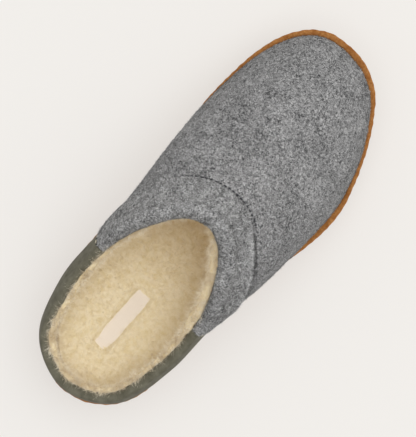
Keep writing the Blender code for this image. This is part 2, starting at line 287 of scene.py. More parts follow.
@dataclass
class Last:
    """Form that the slipper is built on: the sole's outline and the upper's wall over it."""

    length: float = 282.0
    heel_tip_x: float = 1.0
    toe_tip_x: float = -6.0
    toe_spring: float = 8.5
    toe_spring_start: float = 217.0
    seam_y: float = 103.0
    gap: float = 0.3
    wall: float = 3.0
    dense: int = 2000

    def __post_init__(self) -> None:
        """Draws the outline, the sole's heights and the wall's sections as curves."""
        outer = [(row.outer, row.y) for row in OUTLINE]
        inner = [(-row.inner, row.y) for row in reversed(OUTLINE)]
        points = np.array([(self.heel_tip_x, 0.0), *outer, (self.toe_tip_x, self.length), *inner])
        knots = reach_along(np.concatenate([points, points[:1]]))
        self.round = knots[-1]
        self.toe_at = knots[len(outer) + 1]
        self.outline = Spline(knots[:-1], points, period=self.round)
        self.heights = Spline([row.y for row in SOLE_ROWS], [row[1:] for row in SOLE_ROWS])
        ring = self.outline(np.linspace(0.0, self.round, self.dense))
        self.centre = np.array([*(ring.min(axis=0) + ring.max(axis=0)) / 2, 0.0])
        stops = [(HEEL_BACK, 0.0, Side.OUTER)]
        stops += [(row, self.station(row.base_y, Side.OUTER), Side.OUTER) for row in SIDE_SECTIONS]
        stops.append((TOE_TIP, self.toe_at, Side.OUTER))
        stops += [(row, self.station(row.base_y, Side.INNER), Side.INNER) for row in reversed(SIDE_SECTIONS)]
        rows = [self.section_values(row, side) for row, _, side in stops]
        self.sections = Spline([at for _, at, _ in stops], rows, period=self.round)
        self.outer_seam = self.station(self.seam_y, Side.OUTER)
        self.inner_seam = self.station(self.seam_y, Side.INNER)

    @staticmethod
    def section_values(row: Section, side: Side) -> tuple[float, ...]:
        """Values of one section on one side.

        Args:
            row: the section.
            side: the side of the shoe.

        Returns:
            Inset, lean, lean up, handle point, top point, cuff share and crest.
        """
        lean = row.lean_outer if side is Side.OUTER else row.lean_inner
        handle = row.handle_outer if side is Side.OUTER else row.handle_inner
        return (
            (row.inset, lean, row.lean_up)
            + (side.value * handle, row.handle_y, row.handle_z)
            + (side.value * row.top_x, row.top_y, row.top_z)
            + (row.cuff_share, row.crest)
        )

    def station(self, y: float, side: Side) -> float:
        """Place round the shoe at which one side reaches y.

        Args:
            y: distance from the back of the sole.
            side: the side of the shoe.

        Returns:
            The length along the outline.
        """
        start = 0.0 if side is Side.OUTER else self.round
        along = np.linspace(start, self.toe_at, self.dense)
        return float(np.interp(y, self.outline(along)[:, 1], along))

    def to_frame(self, points: Array) -> Array:
        """Points of the tables as metres in the frame."""
        return (points - self.centre) * MM

    def cuff_share(self, at: Array) -> Array:
        """Share of the wall at which the cuff is sewn down."""
        return self.sections(at)[:, Column.CUFF_SHARE]

    def crest(self, at: Array) -> Array:
        """Thickness of the cuff at the rim."""
        return self.sections(at)[:, Column.CREST]

    def foot_inset(self, at: Array) -> Array:
        """Distance of the wall's foot from the outline."""
        return self.sections(at)[:, Column.INSET]

    def inset(self, at: Array, inset: Array, step: float = 0.05) -> tuple[Array, Array]:
        """Points of the outline moved in.

        Args:
            at: places round the shoe.
            inset: distance in from the outline.
            step: length over which its direction is measured.

        Returns:
            The flat points and the outward directions there.
        """
        ahead = unit(self.outline(at + step) - self.outline(at - step))
        outward = np.stack([ahead[:, 1], -ahead[:, 0]], axis=1)
        return self.outline(at) - outward * np.reshape(inset, (-1, 1)), outward

    def sole_top(self, y: Array) -> Array:
        """Height of the sole's top."""
        return self.heights(y)[:, 0]

    def sole_bottom(self, y: Array) -> Array:
        """Height of the sole's bottom: flat, then rising in the toe spring."""
        past = np.clip((y - self.toe_spring_start) / (self.length - self.toe_spring_start), 0.0, None)
        return self.toe_spring * past**2

    def on_sole(self, flat: Array, height: Array) -> Array:
        """Points over the sole's top at a height."""
        return np.column_stack([flat, self.sole_top(flat[:, 1]) + height])

    def wall_curve(self, at: Array, share: Array) -> Array:
        """Points of the upper's plain outer face.

        Args:
            at: places round the shoe.
            share: shares of the way up, from the foot to the rim.

        Returns:
            One point for each.
        """
        row = self.sections(at)
        flat, outward = self.inset(at, row[:, Column.INSET])
        foot = self.on_sole(flat, self.gap)
        lean = outward * row[:, Column.LEAN, None]
        shoulder = foot + np.column_stack([lean, row[:, Column.LEAN_UP]])
        handle = row[:, Column.HANDLE : Column.TOP]
        top = row[:, Column.TOP : Column.CUFF_SHARE]
        share = np.reshape(share, (-1, 1))
        rest = 1.0 - share
        low = rest**3 * foot + 3 * rest**2 * share * shoulder
        return low + 3 * rest * share**2 * handle + share**3 * top

    def wall_frame(self, at: Array, share: Array, share_step: float = 0.004) -> tuple[Array, Array]:
        """Directions on the upper's outer face.

        Args:
            at: places round the shoe.
            share: shares of the way up.
            share_step: share over which the upward direction is measured.

        Returns:
            The outward normals and the upward directions.
        """
        round_way = self.wall_curve(at + ROUND_STEP, share) - self.wall_curve(at - ROUND_STEP, share)
        up_way = self.wall_curve(at, share + share_step) - self.wall_curve(at, share - share_step)
        return unit(np.cross(round_way, up_way)), unit(up_way)

    def wall_speed(self, at: Array, share: Array, step: float = 0.01) -> Array:
        """Length up the wall for a whole share, as it runs just under each point."""
        return np.linalg.norm(self.wall_curve(at, share) - self.wall_curve(at, share - step), axis=1) / step

    def wall_point(self, at: Array, share: Array, offset: Array) -> Array:
        """Points at a distance outside the upper's outer face. At the foot they stay on the sole.

        Args:
            at: places round the shoe.
            share: shares of the way up.
            offset: distance outside the face, or inside where it is negative.

        Returns:
            One point for each.
        """
        offset = np.broadcast_to(offset, at.shape)[:, None]
        share = np.broadcast_to(share, at.shape)
        normal, _ = self.wall_frame(at, share)
        points = self.wall_curve(at, share) + normal * offset
        foot = share <= 0.0
        if foot.any():
            flat, outward = self.inset(at[foot], self.foot_inset(at[foot]))
            points[foot] = self.on_sole(flat + outward * offset[foot], self.gap)
        return points

    def rim_point(self, at: Array, offset: Array, rise: Array) -> Array:
        """Points beside the collar's top line.

        Args:
            at: places round the shoe.
            offset: distance outside the wall.
            rise: distance on up along the wall.

        Returns:
            One point for each.
        """
        rim = np.ones_like(at)
        normal, up_way = self.wall_frame(at, rim)
        beside = normal * np.reshape(offset, (-1, 1)) + up_way * np.reshape(rise, (-1, 1))
        return self.wall_curve(at, rim) + beside

    def share_under_rim(self, at: Array, drop: Array) -> Array:
        """Share of the way up the wall at a distance under the rim."""
        rim = np.ones_like(at)
        return rim - drop / self.wall_speed(at, rim)

    def wall_at(self, y: float, z: float, columns: int = 200, rows: int = 100) -> Pair:
        """Point of the heel's outer wall nearest to a height and a distance from the back.

        Args:
            y: distance from the back of the sole.
            z: height.
            columns: places that are tried round the heel.
            rows: shares that are tried up the wall.

        Returns:
            The place round the shoe and the share up the wall.
        """
        grids = np.meshgrid(np.linspace(0.0, self.outer_seam, columns), np.linspace(0.0, 1.0, rows))
        at, share = (grid.ravel() for grid in grids)
        off = self.wall_curve(at, share)[:, 1:] - (y, z)
        nearest = int(np.argmin((off**2).sum(axis=1)))
        return float(at[nearest]), float(share[nearest])


LAST = Last()


def lumps(points: Array, size: float, seed: int) -> Array:
    """Smooth noise from -1 to 1.

    Args:
        points: one row of three millimetres each.
        size: width of a lump in millimetres.
        seed: picks the pattern.

    Returns:
        One number for each point.
    """
    table = np.random.default_rng(seed).uniform(-1.0, 1.0, (NOISE_CELLS,) * 3)
    scaled = points / size
    cell = np.floor(scaled).astype(int)
    part = scaled - cell
    part = part * part * (3.0 - 2.0 * part)
    total = np.zeros(len(points))
    for corner in itertools.product((0, 1), repeat=3):
        weight = np.prod(np.where(corner, part, 1.0 - part), axis=1)
        total += weight * table[tuple(((cell + corner) % NOISE_CELLS).T)]
    return total


def uneven(points: Array, rows: tuple[Lump, ...]) -> Array:
    """Height of a few kinds of lumps over each point."""
    return sum(row.height * lumps(points, row.size, row.seed) for row in rows)


def creased(points: Array, creases: tuple[Crease, ...]) -> Array:
    """Depth of the creases under each point.

    Args:
        points: one row of three millimetres each.
        creases: the troughs and ridges.

    Returns:
        One depth in millimetres for each point.
    """
    depth = np.zeros(len(points))
    for row in creases:
        start = np.array([row.from_x, row.from_y])
        way = np.array([row.to_x, row.to_y]) - start
        along = np.clip((points[:, :2] - start) @ way / (way @ way), 0.0, 1.0)
        apart = np.linalg.norm(points[:, :2] - start - along[:, None] * way, axis=1)
        ends = np.sin(np.pi * (CREASE_END + (1.0 - 2.0 * CREASE_END) * along))
        depth += row.depth * ends * bell(apart, row.width)
    return depth


def lay_grid(columns: int, rows: int, place: Surface) -> bmesh.types.BMesh:
    """Grid of faces laid over a surface, with its edges welded where they meet.

    Args:
        columns: faces along the surface's first way.
        rows: faces along its second way.
        place: gives points of the tables from arrays of column and row numbers.

    Returns:
        The bmesh in the frame, with each vertex's column and row kept in layers.
    """
    bm = bmesh.new()
    bmesh.ops.create_grid(bm, x_segments=columns, y_segments=rows, size=0.5)
    column_layer = bm.verts.layers.int.new("column")
    row_layer = bm.verts.layers.int.new("row")
    shares = np.array([vert.co[:2] for vert in bm.verts]) + 0.5
    steps = np.rint(shares * (columns, rows)).astype(int)
    points = LAST.to_frame(place(steps[:, 0], steps[:, 1]))
    for vert, step, point in zip(bm.verts, steps.tolist(), points.tolist()):
        vert[column_layer], vert[row_layer] = step
        vert.co = point
    bmesh.ops.remove_doubles(bm, verts=bm.verts, dist=WELD)
    return bm


def close_ladder(bm: bmesh.types.BMesh, layer_name: str, half: int) -> None:
    """Closes each open end of a tube by rungs between its two halves.

    Args:
        bm: the tube.
        layer_name: layer whose numbers run round the tube.
        half: first number of the second half.
    """
    layer = bm.verts.layers.int[layer_name]
    other = bm.verts.layers.int["row" if layer_name == "column" else "column"]
    for end in sorted({edge.verts[0][other] for edge in bm.edges if edge.is_boundary}):
        open_edges = (edge for edge in bm.edges if edge.is_boundary)
        edges = [edge for edge in open_edges if all(vert[other] == end for vert in edge.verts)]
        first = [edge for edge in edges if all(vert[layer] < half for vert in edge.verts)]
        second = [edge for edge in edges if all(vert[layer] >= half for vert in edge.verts)]
        bmesh.ops.bridge_loops(bm, edges=first + second)


def show(name: str, mesh: bpy.types.Mesh, finish: "Finish", slot: Slot, *nodes: str) -> bpy.types.Object:
    """Links a mesh as a piece that rides on the shoe.

    Args:
        name: the piece's name.
        mesh: its mesh.
        finish: its finish.
        slot: the record's material slot; not used.
        nodes: frame nodes that it stands for.

    Returns:
        The object.
    """
    mesh.materials.append(finish.material())
    piece = bpy.data.objects.new(name, mesh)
    bpy.context.scene.collection.objects.link(piece)
    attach(piece, BODY)
    if nodes:
        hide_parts(*nodes)
    LOG.info("%s: %d faces", name, len(mesh.polygons))
    return piece


def add_piece(
    name: str, bm: bmesh.types.BMesh, finish: "Finish", slot: Slot, *nodes: str, sharp: float = 180.0
) -> bpy.types.Object:
    """Makes a bmesh a shown piece of the slipper.

    Args:
        name: the piece's name.
        bm: its shape, freed here.
        finish: its finish.
        slot: the record's material slot.
        nodes: frame nodes that it stands for.
        sharp: angle in degrees past which an edge stays sharp.

    Returns:
        The object.
    """
    bmesh.ops.recalc_face_normals(bm, faces=bm.faces)
    mesh = bpy.data.meshes.new(name)
    bm.to_mesh(mesh)
    bm.free()
    mesh.shade_smooth()
    mesh.set_sharp_from_angle(angle=math.radians(sharp))
    return show(name, mesh, finish, slot, *nodes)


def linear(colour: str) -> tuple[float, float, float, float]:
    """Linear colour of an sRGB hex value."""
    channels = [int(colour[i : i + 2], 16) / 255 for i in (1, 3, 5)]
    return (*(c / 12.92 if c <= 0.04045 else ((c + 0.055) / 1.055) ** 2.4 for c in channels), 1.0)


def per_mm(size: float) -> float:
    """Scale of a pattern whose repeat is the given millimetres, on coordinates in metres."""
    return 1.0 / (size * MM)


def add_node(tree: NodeTree, kind: str, inputs: dict | None = None, **settings: object) -> bpy.types.Node:
    """Adds a node with its settings and links.

    Args:
        tree: the material's tree.
        kind: the node's type.
        inputs: a value or a socket to link for each input's name or number.
        settings: the node's own properties.

    Returns:
        The node.
    """
    node = tree.nodes.new(kind)
    for name, value in settings.items():
        setattr(node, name, value)
    for key, value in (inputs or {}).items():
        if isinstance(value, NodeSocket):
            tree.links.new(value, node.inputs[key])
        else:
            node.inputs[key].default_value = value
    return node


class Grain(NamedTuple):
    """Noise in a surface: its size in millimetres, and how broken and swirled it is."""

    size: float
    detail: float = 2.0
    roughness: float = 0.5
    swirl: float = 0.0

    def inputs(self, where: NodeSocket) -> dict:
        """The noise's values, read at the given coordinates."""
        rough = {"Detail": self.detail, "Roughness": self.roughness, "Distortion": self.swirl}
        return {"Vector": where, "Scale": per_mm(self.size), **rough}


@dataclass(frozen=True)
class Finish:
    """Finish of a surface: a deep and a pale tone that grains mix, a gloss, and a bump from a finer grain."""

    name: str
    colour: str
    roughness: float
    deep: str = ""
    sheen: float = 0.0
    sheen_colour: str = ""
    sheen_roughness: float = 0.5
    specular: float = 0.3
    glow: float = 0.0
    glow_colour: str = "#FFFFFF"
    grains: tuple[Grain, ...] = ()
    window: Pair = (0.0, 1.0)
    shares: Pair = (0.0, 1.0)
    bump: float = 0.0
    bump_depth: float = 0.0
    bump_grain: Grain = Grain(1.0)

    def material(self) -> bpy.types.Material:
        """The finish's material, made once.

        Returns:
            The material.
        """
        made = bpy.data.materials.get(self.name)
        if made:
            return made
        made = bpy.data.materials.new(self.name)
        made.use_nodes = True
        tree = made.node_tree
        shader = tree.nodes["Principled BSDF"]
        values = {
            "Base Color": linear(self.colour),
            "Roughness": self.roughness,
            "Specular IOR Level": self.specular,
            "Sheen Weight": self.sheen,
            "Sheen Roughness": self.sheen_roughness,
            "Sheen Tint": linear(self.sheen_colour or self.colour),
            "Emission Color": linear(self.glow_colour),
            "Emission Strength": self.glow,
        }
        for socket, value in values.items():
            shader.inputs[socket].default_value = value
        where = add_node(tree, "ShaderNodeTexCoord").outputs["Object"]
        if self.deep:
            tones = {0: self.tone(tree, where), 6: linear(self.deep), 7: linear(self.colour)}
            mix = add_node(tree, "ShaderNodeMix", tones, data_type="RGBA")
            tree.links.new(mix.outputs[2], shader.inputs["Base Color"])
        if self.bump:
            depth = {"Strength": self.bump, "Distance": self.bump_depth * MM}
            bump = add_node(tree, "ShaderNodeBump", {"Height": self.relief(tree, where), **depth})
            tree.links.new(bump.outputs["Normal"], shader.inputs["Normal"])
        return made

    def tone(self, tree: NodeTree, where: NodeSocket) -> NodeSocket:
        """Share of the pale tone: the grains times each other, spread from their window.

        Args:
            tree: the material's tree.
            where: the piece's own coordinates in metres.

        Returns:
            The share.
        """
        noises = [add_node(tree, "ShaderNodeTexNoise", grain.inputs(where)) for grain in self.grains]
        total = noises[0].outputs["Fac"]
        for noise in noises[1:]:
            both = {0: total, 1: noise.outputs["Fac"]}
            total = add_node(tree, "ShaderNodeMath", both, operation="MULTIPLY").outputs[0]
        limits = dict(zip(("From Min", "From Max", "To Min", "To Max"), self.window + self.shares))
        return add_node(tree, "ShaderNodeMapRange", {"Value": total, **limits}).outputs["Result"]

    def relief(self, tree: NodeTree, where: NodeSocket) -> NodeSocket:
        """Height of the bump."""
        return add_node(tree, "ShaderNodeTexNoise", self.bump_grain.inputs(where)).outputs["Fac"]


@dataclass(frozen=True)
class Felt(Finish):
    """Wool felt from dark and light fibres: a swirled melange, pale and dark in patches, with a soft nap."""

    grains: tuple[Grain, ...] = (Grain(1.3, swirl=1.3),)
    window: Pair = (0.3, 0.7)
    shares: Pair = (-0.47, 0.37)
    bump: float = 0.5
    bump_depth: float = 0.5
    bump_grain: Grain = Grain(0.9, swirl=0.8)
    patches: tuple[tuple[Grain, float], ...] = (
        (Grain(5.0, roughness=0.6), 0.5),
        (Grain(24.0, detail=1.0), 0.28),
    )

    def tone(self, tree: NodeTree, where: NodeSocket) -> NodeSocket:
        """Share of the pale tone: the fibres, with the patches' shares added.

        Args:
            tree: the material's tree.
            where: the piece's own coordinates in metres.

        Returns:
            The share.
        """
        total = super().tone(tree, where)
        for grain, share in self.patches:
            noise = add_node(tree, "ShaderNodeTexNoise", grain.inputs(where)).outputs["Fac"]
            added = add_node(tree, "ShaderNodeMath", {0: noise, 1: share, 2: total}, operation="MULTIPLY_ADD")
            total = added.outputs[0]
        return total


@dataclass(frozen=True)
class Suede(Finish):
    """Split leather with a brushed nap: matt, mottled where the nap lies over, fine grit in raking light."""

    grains: tuple[Grain, ...] = (Grain(11.0, 3.0, 0.6), Grain(1.6, 3.0))
    window: Pair = (0.12, 0.38)
    bump: float = 0.35
    bump_depth: float = 0.3
    bump_grain: Grain = Grain(0.7)


@dataclass(frozen=True)
class Nubuck(Finish):
    """Sanded grain leather: dry and even with a low gloss, soft cloudy tone and fine pebble."""

    grains: tuple[Grain, ...] = (Grain(6.0, 5.0, 0.7),)
    window: Pair = (0.3, 0.65)
    bump: float = 0.25
    bump_depth: float = 0.15
    pebble: float = 1.1

    def relief(self, tree: NodeTree, where: NodeSocket) -> NodeSocket:
        """Height of the pebbles."""
        pebbles = {"Vector": where, "Scale": per_mm(self.pebble)}
        return add_node(tree, "ShaderNodeTexVoronoi", pebbles).outputs["Distance"]


@dataclass(frozen=True)
class Pile(Finish):
    """Wool pile: soft tufts, paler at the tips and honey-coloured between them, where the deeper tone follows
    the bump's hollows as painted shade.
    """

    # The tone and the bump read the same noise, so the hollows between the tufts get the deeper tone: painted
    # shade.
    grains: tuple[Grain, ...] = (Grain(3.4, 3.0, 0.65),)
    window: Pair = (0.3, 0.6)
    bump: float = 0.6
    bump_depth: float = 1.2
    bump_grain: Grain = Grain(3.4, 3.0, 0.65)


@dataclass(frozen=True)
class Fibres(Finish):
    """Loose fibres, each of its own shade. They are drawn thicker than real ones, so that they show."""

    attribute: str = "shade"

    def tone(self, tree: NodeTree, where: NodeSocket) -> NodeSocket:
        """Each fibre's own shade."""
        return add_node(tree, "ShaderNodeAttribute", attribute_name=self.attribute).outputs["Fac"]


@dataclass(frozen=True)
class Thread(Finish):
    """Spun sewing thread: a dull gloss broken by its twist."""

    grains: tuple[Grain, ...] = (Grain(0.8),)


@dataclass(frozen=True)
class WovenTape(Finish):
    """Plain woven tape: ribs both ways, faintly uneven. They are drawn coarser than real ones, to show."""

    bump: float = 0.3
    bump_depth: float = 0.2
    rib: float = 0.628
    waver: float = 0.3
    # A wave of scale 1 turns through this many radians for each unit of its coordinates.
    wave_turn: float = 20.0

    def tone(self, tree: NodeTree, where: NodeSocket) -> NodeSocket:
        """Share of the pale tone: ribs across times ribs along.

        Args:
            tree: the material's tree.
            where: the piece's own coordinates in metres.

        Returns:
            The share.
        """
        scale = 2 * math.pi / self.wave_turn * per_mm(self.rib)
        ribs = {"Vector": where, "Scale": scale, "Distortion": self.waver}
        waves = [add_node(tree, "ShaderNodeTexWave", ribs, bands_direction=way) for way in ("X", "Y")]
        both = {number: wave.outputs["Fac"] for number, wave in enumerate(waves)}
        return add_node(tree, "ShaderNodeMath", both, operation="MULTIPLY").outputs[0]

    def relief(self, tree: NodeTree, where: NodeSocket) -> NodeSocket:
        """Height of the same ribs."""
        return self.tone(tree, where)


# Milled wool felt: a grey melange of dark and light fibres that keeps light on its steep sides.
FELT = Felt(
    "grey_wool_felt", "#C9C8C7", 0.95, deep="#3E3E3F", sheen=0.25, sheen_colour="#888786", specular=0.1
)
# Its loose hairs, lying over it: they break the felt's outline and bloom where it turns away.
FELT_HAIRS = Fibres("grey_felt_hairs", "#B3B3B3", 0.95, deep="#343433", sheen=1.0, specular=0.05)
# The cuff's hairs are the same felt drawn paler: painted light that brightens the cuff's front and outer
# slopes.
PAINTED_LIGHT_CUFF_HAIRS = Fibres("grey_cuff_hairs_painted_light", "#D3D3D2", 0.95, deep="#383837", specular=0.05)
# Brushed split leather: warm tan, mottled where the nap lies over, no shine.
TAN_SUEDE = Suede("tan_suede", "#A9703F", 0.9, deep="#7A4A26", sheen=0.25, specular=0.15)
# The same hide at its raw cut: closer mottles, a little more golden.
CUT_SUEDE = Suede(
    "cut_suede_edge", "#AE7A46", 0.95, deep="#8A562A", sheen=0.1, specular=0.1,
    grains=(Grain(5.0, 3.0, 0.6), Grain(1.6, 3.0)),
)
# Sanded leather: cloudy green-grey with a low, dry gloss.
NUBUCK = Nubuck("green_grey_nubuck", "#6A6758", 0.7, deep="#4C493B", specular=0.25)
# Cream wool pile and its curls. The glow is painted light: a warm emission that lifts the pile where it lies
# in shade, in place of light passed on through deep wool.
WOOL_PILE = Pile(
    "cream_wool_pile", "#E0D4B7", 1.0, deep="#D3C39A",
    sheen=0.1, specular=0.05, glow=0.05, glow_colour="#DDA24F",
)
WOOL_CURLS = Fibres(
    "cream_wool_curls", "#EDE8D8", 0.9, deep="#E0D4B9",
    sheen=0.1, specular=0.05, glow=0.05, glow_colour="#DDA24F",
)
# Woven tape: pale and flat, with a faint rib.
TAPE = WovenTape("cream_woven_tape", "#F1E7DA", 0.8, deep="#E3D6C5", specular=0.2)
# Spun threads: dull, with stripes of tone from their twist.
GREY_THREAD = Thread("grey_thread", "#CFCDC6", 0.6, deep="#8E8C86")
CREAM_THREAD = Thread("cream_thread", "#DAD3BC", 0.6, deep="#A79F88")
DARK_THREAD = Thread("dark_thread", "#4A4A4E", 0.8, deep="#2C2C30")
# Needle holes: nearly black, since no light comes back out of them.
HOLE = Thread("needle_hole", "#1B1A18", 1.0, deep="#0F0E0D", specular=0.05)


class Stitch(NamedTuple):
    """One stitch or needle hole: its middle, its long direction and the way out of the surface."""

    middle: Array
    along: Array
    outward: Array


def sew(name: str, stitches: list[Stitch], sizes: tuple[float, ...], finish: Finish, slot: Slot) -> None:
    """Lays a row of stitches as one piece.

    Args:
        name: the piece's name.
        stitches: where they lie, in the tables' millimetres.
        sizes: length, width and height of a stitch.
        finish: the thread.
        slot: the record's material slot.
    """
    bm = bmesh.new()
    stretch = Matrix.Diagonal((*(size * MM for size in sizes), 1.0))
    for stitch in stitches:
        along = Vector(stitch.along).normalized()
        side = Vector(stitch.outward).cross(along).normalized()
        turn = Matrix((along, side, along.cross(side))).transposed().to_4x4()
        place = Matrix.Translation(Vector(LAST.to_frame(stitch.middle))) @ turn @ stretch
        bmesh.ops.create_uvsphere(bm, u_segments=8, v_segments=6, radius=0.5, matrix=place)
    add_piece(name, bm, finish, slot)


@dataclass
class Strands:
    """Many tapered fibres as one mesh, each bent over and curled."""

    roots: Array
    ways: Array
    leans: Array
    lengths: Array
    widths: Array
    curl: float
    shades: Array
    faces: Array
    tumble: float = 2.0
    levels: int = 3
    seed: int = 7
    waves: float = 4.0

    def mesh(self, name: str) -> bpy.types.Mesh:
        """Joined ribbons with a point at each tip.

        Args:
            name: the mesh's name.

        Returns:
            The mesh, with each fibre's shade as an attribute.
        """
        count = len(self.roots)
        rng = np.random.default_rng(self.seed)
        side = unit(np.cross(self.ways, self.faces + rng.normal(0.0, self.tumble, (count, 3))))
        phase = rng.uniform(0.0, 2 * np.pi, count)
        levels = []
        for step in range(self.levels + 1):
            t = step / self.levels
            path = self.ways * t + self.leans * t**2
            wave = np.sin(phase + self.waves * t) - np.sin(phase)
            middle = self.roots + path * self.lengths[:, None] + side * (self.curl * wave)[:, None]
            half = side * (self.widths * (1.0 - t) / 2)[:, None]
            levels += [middle - half, middle + half] if step < self.levels else [middle]
        verts = LAST.to_frame(np.stack(levels, axis=1).reshape(-1, 3))
        per = 2 * self.levels + 1
        corners = [(2 * k, 2 * k + 1, 2 * k + 3, 2 * k + 2) for k in range(self.levels - 1)]
        corners.append((per - 3, per - 2, per - 1))
        first = np.arange(count)[:, None] * per
        faces = itertools.chain.from_iterable((first + face).tolist() for face in corners)
        mesh = bpy.data.meshes.new(name)
        mesh.from_pydata(verts.tolist(), [], list(faces))
        mesh.shade_smooth()
        shade = mesh.attributes.new(Fibres.attribute, "FLOAT", "POINT")
        shade.data.foreach_set("value", np.repeat(self.shades, per).astype(np.float32))
        return mesh


@dataclass
class SuedeSole:
    """Platform wrapped in tan suede, pulled in a little under each stitch of its top edge."""

    columns: int = 600
    top_inset: float = 12.0
    side_shares: tuple[float, ...] = (0.0, 0.45, 0.8, 1.0)
    side_insets: tuple[float, ...] = (-1.2, -1.1, -0.5, 0.6)
    side_rows: int = 18
    edge_rows: int = 12
    pucker: float = 0.45
    pucker_share: float = 0.16
    pitch: float = 6.5
    even_from: float = 1.4
    lumps: tuple[Lump, ...] = (Lump(22.0, 0.35, 1), Lump(7.0, 0.14, 2))

    def place(self, column: Array, row: Array) -> Array:
        """Points of the platform: top, wall and rounded bottom edge.

        Args:
            column: numbers round the shoe.
            row: numbers from the top's inside down to the floor.

        Returns:
            One point for each.
        """
        at = (column + 0.5) * LAST.round / self.columns
        edge = LAST.heights(LAST.outline(at)[:, 1])
        share = 1.0 - ramp(row - 1.0, self.side_rows)
        angle = ramp(row - 1.0 - self.side_rows, self.edge_rows) * np.pi / 2
        wall = Spline(self.side_shares, self.side_insets)(share)[:, 0]
        under = edge[:, 1] * (1.0 - np.cos(angle))
        inset = np.where(row == 0, self.top_inset, wall + under)
        near_top = bell(1.0 - share, self.pucker_share) * (row > 0)
        inset = inset + self.pucker * near_top * (0.5 + 0.5 * np.cos(2 * np.pi * at / self.pitch))
        flat, outward = LAST.inset(at, inset)
        low = LAST.sole_bottom(flat[:, 1]) + edge[:, 2]
        side = low + share * (LAST.sole_top(flat[:, 1]) - low)
        bottom = LAST.sole_bottom(flat[:, 1]) + edge[:, 2] * (1.0 - np.sin(angle))
        points = np.column_stack([flat, np.where(angle > 0.0, bottom, side)])
        soft = np.where((row == 0) | (angle > self.even_from), 0.0, uneven(points, self.lumps))
        points[:, :2] += outward * soft[:, None]
        return points

    def build(self) -> None:
        """Makes the platform."""
        bm = lay_grid(self.columns, 1 + self.side_rows + self.edge_rows, self.place)
        close_ladder(bm, "column", self.columns // 2)
        add_piece("suede_platform", bm, TAN_SUEDE, Slot.SUEDE_WRAP, "sole")


@dataclass
class StitchedEdge:
    """Standing raw edge of the suede round the upper, with the running stitch under it."""

    columns: int = 840
    section: tuple[RimRow, ...] = (
        RimRow(0.2, 0.0),
        RimRow(-0.4, 2.6),
        RimRow(-1.5, 4.8),
        RimRow(-0.4, 5.3),
        RimRow(2.3, 5.1),
        RimRow(3.2, 0.0),
    )
    rows: int = 24
    inner_from: float = 2.0
    wavy_to: float = 1.2
    # At the heel's outer side, and beside the ball, the edge leans further out.
    heel_reach: float = 1.4
    heel_reach_to_y: float = 60.0
    heel_reach_run: float = 50.0
    heel_reach_from_x: float = -24.0
    heel_reach_across: float = 40.0
    outer_reach: float = 2.7
    outer_reach_y: float = 190.0
    outer_reach_width: float = 40.0
    clear: float = -0.04
    pitch: float = 6.5
    pull: float = 0.12
    raw_cut: tuple[Lump, ...] = (Lump(9.0, 0.35, 3), Lump(1.8, 0.16, 4))
    raw_top: tuple[Lump, ...] = (Lump(6.0, 0.3, 5),)
    stitch: Triple = (4.3, 1.2, 1.0)
    stitch_inset: float = -0.15
    stitch_height: float = -0.15
    stitch_tilt: float = 0.4
    hole: Triple = (2.0, 1.0, 0.7)
    hole_inset: float = 0.1
    hole_height: float = -0.1

    @property
    def ring(self) -> Array:
        """Insets and heights round the edge's section.

        Returns:
            Rows of both, evenly spaced and softened at the corners.
        """
        corners = np.array([*self.section, self.section[0]])
        reach = reach_along(corners)
        walk = np.linspace(0.0, reach[-1], self.rows + 1)[:-1]
        ring = np.column_stack([np.interp(walk, reach, column) for column in corners.T])
        return (np.roll(ring, 1, axis=0) + 2 * ring + np.roll(ring, -1, axis=0)) / 4

    def lean_out(self, at: Array) -> Array:
        """Distance by which the edge's top leans out.

        Args:
            at: places round the shoe.

        Returns:
            One distance for each.
        """
        x, y = LAST.outline(at).T
        behind = ramp(self.heel_reach_to_y - y, self.heel_reach_run)
        aside = ramp(x - self.heel_reach_from_x, self.heel_reach_across)
        beside = bell(at - LAST.station(self.outer_reach_y, Side.OUTER), self.outer_reach_width)
        return self.heel_reach * behind * aside + self.outer_reach * beside

    def place(self, column: Array, row: Array) -> Array:
        """Points of the standing edge, wavy where the stitches pull it.

        Args:
            column: numbers round the shoe.
            row: numbers round the section.

        Returns:
            One point for each.
        """
        at = column * LAST.round / self.columns
        inset, height = self.ring[row % self.rows].T
        wall = LAST.sections(at)
        slope = wall[:, Column.LEAN] / wall[:, Column.LEAN_UP]
        limit = self.section[-1].inset - (slope + self.clear) * height
        inset = np.where(inset > self.inner_from, limit, np.minimum(inset, limit))
        up = height / max(corner.height for corner in self.section)
        inset = inset - np.where(inset > self.inner_from, 0.0, self.lean_out(at) * up)
        flat, outward = LAST.inset(at, inset)
        points = LAST.on_sole(flat, LAST.gap + height)
        wavy = self.pull * np.cos(2 * np.pi * at / self.pitch) + uneven(points, self.raw_cut)
        points[:, :2] -= outward * (up * np.where(inset < self.wavy_to, wavy, 0.0))[:, None]
        points[:, 2] += up * uneven(points, self.raw_top)
        return points

    def stitches(self, shift: float, inset: float, height: float) -> list[Stitch]:
        """Places of the running stitch.

        Args:
            shift: share of the pitch by which the row starts late.
            inset: distance in from the outline.
            height: distance over the sole's top.

        Returns:
            One stitch for each pitch round the shoe.
        """
        count = round(LAST.round / self.pitch)
        at = (np.arange(count) + shift) * LAST.round / count
        flat, outward = LAST.inset(at, inset)
        middles = LAST.on_sole(flat, height)
        ahead = LAST.on_sole(LAST.inset(at + SEAM_STEP, inset)[0], height)
        outward = np.column_stack([outward, np.full(count, self.stitch_tilt)])
        return [Stitch(*row) for row in zip(middles, ahead - middles, outward)]

    def build(self) -> None:
        """Makes the edge, its stitches and the holes between them."""
        bm = lay_grid(self.columns, self.rows, self.place)
        add_piece("suede_edge_strip", bm, CUT_SUEDE, Slot.SUEDE_EDGE, "rand_lip")
        stitches = self.stitches(0.5, self.stitch_inset, self.stitch_height)
        sew("edge_stitches", stitches, self.stitch, GREY_THREAD, Slot.SUEDE_EDGE)
        holes = self.stitches(0.0, self.hole_inset, self.hole_height)
        sew("edge_needle_holes", holes, self.hole, HOLE, Slot.SUEDE_EDGE)


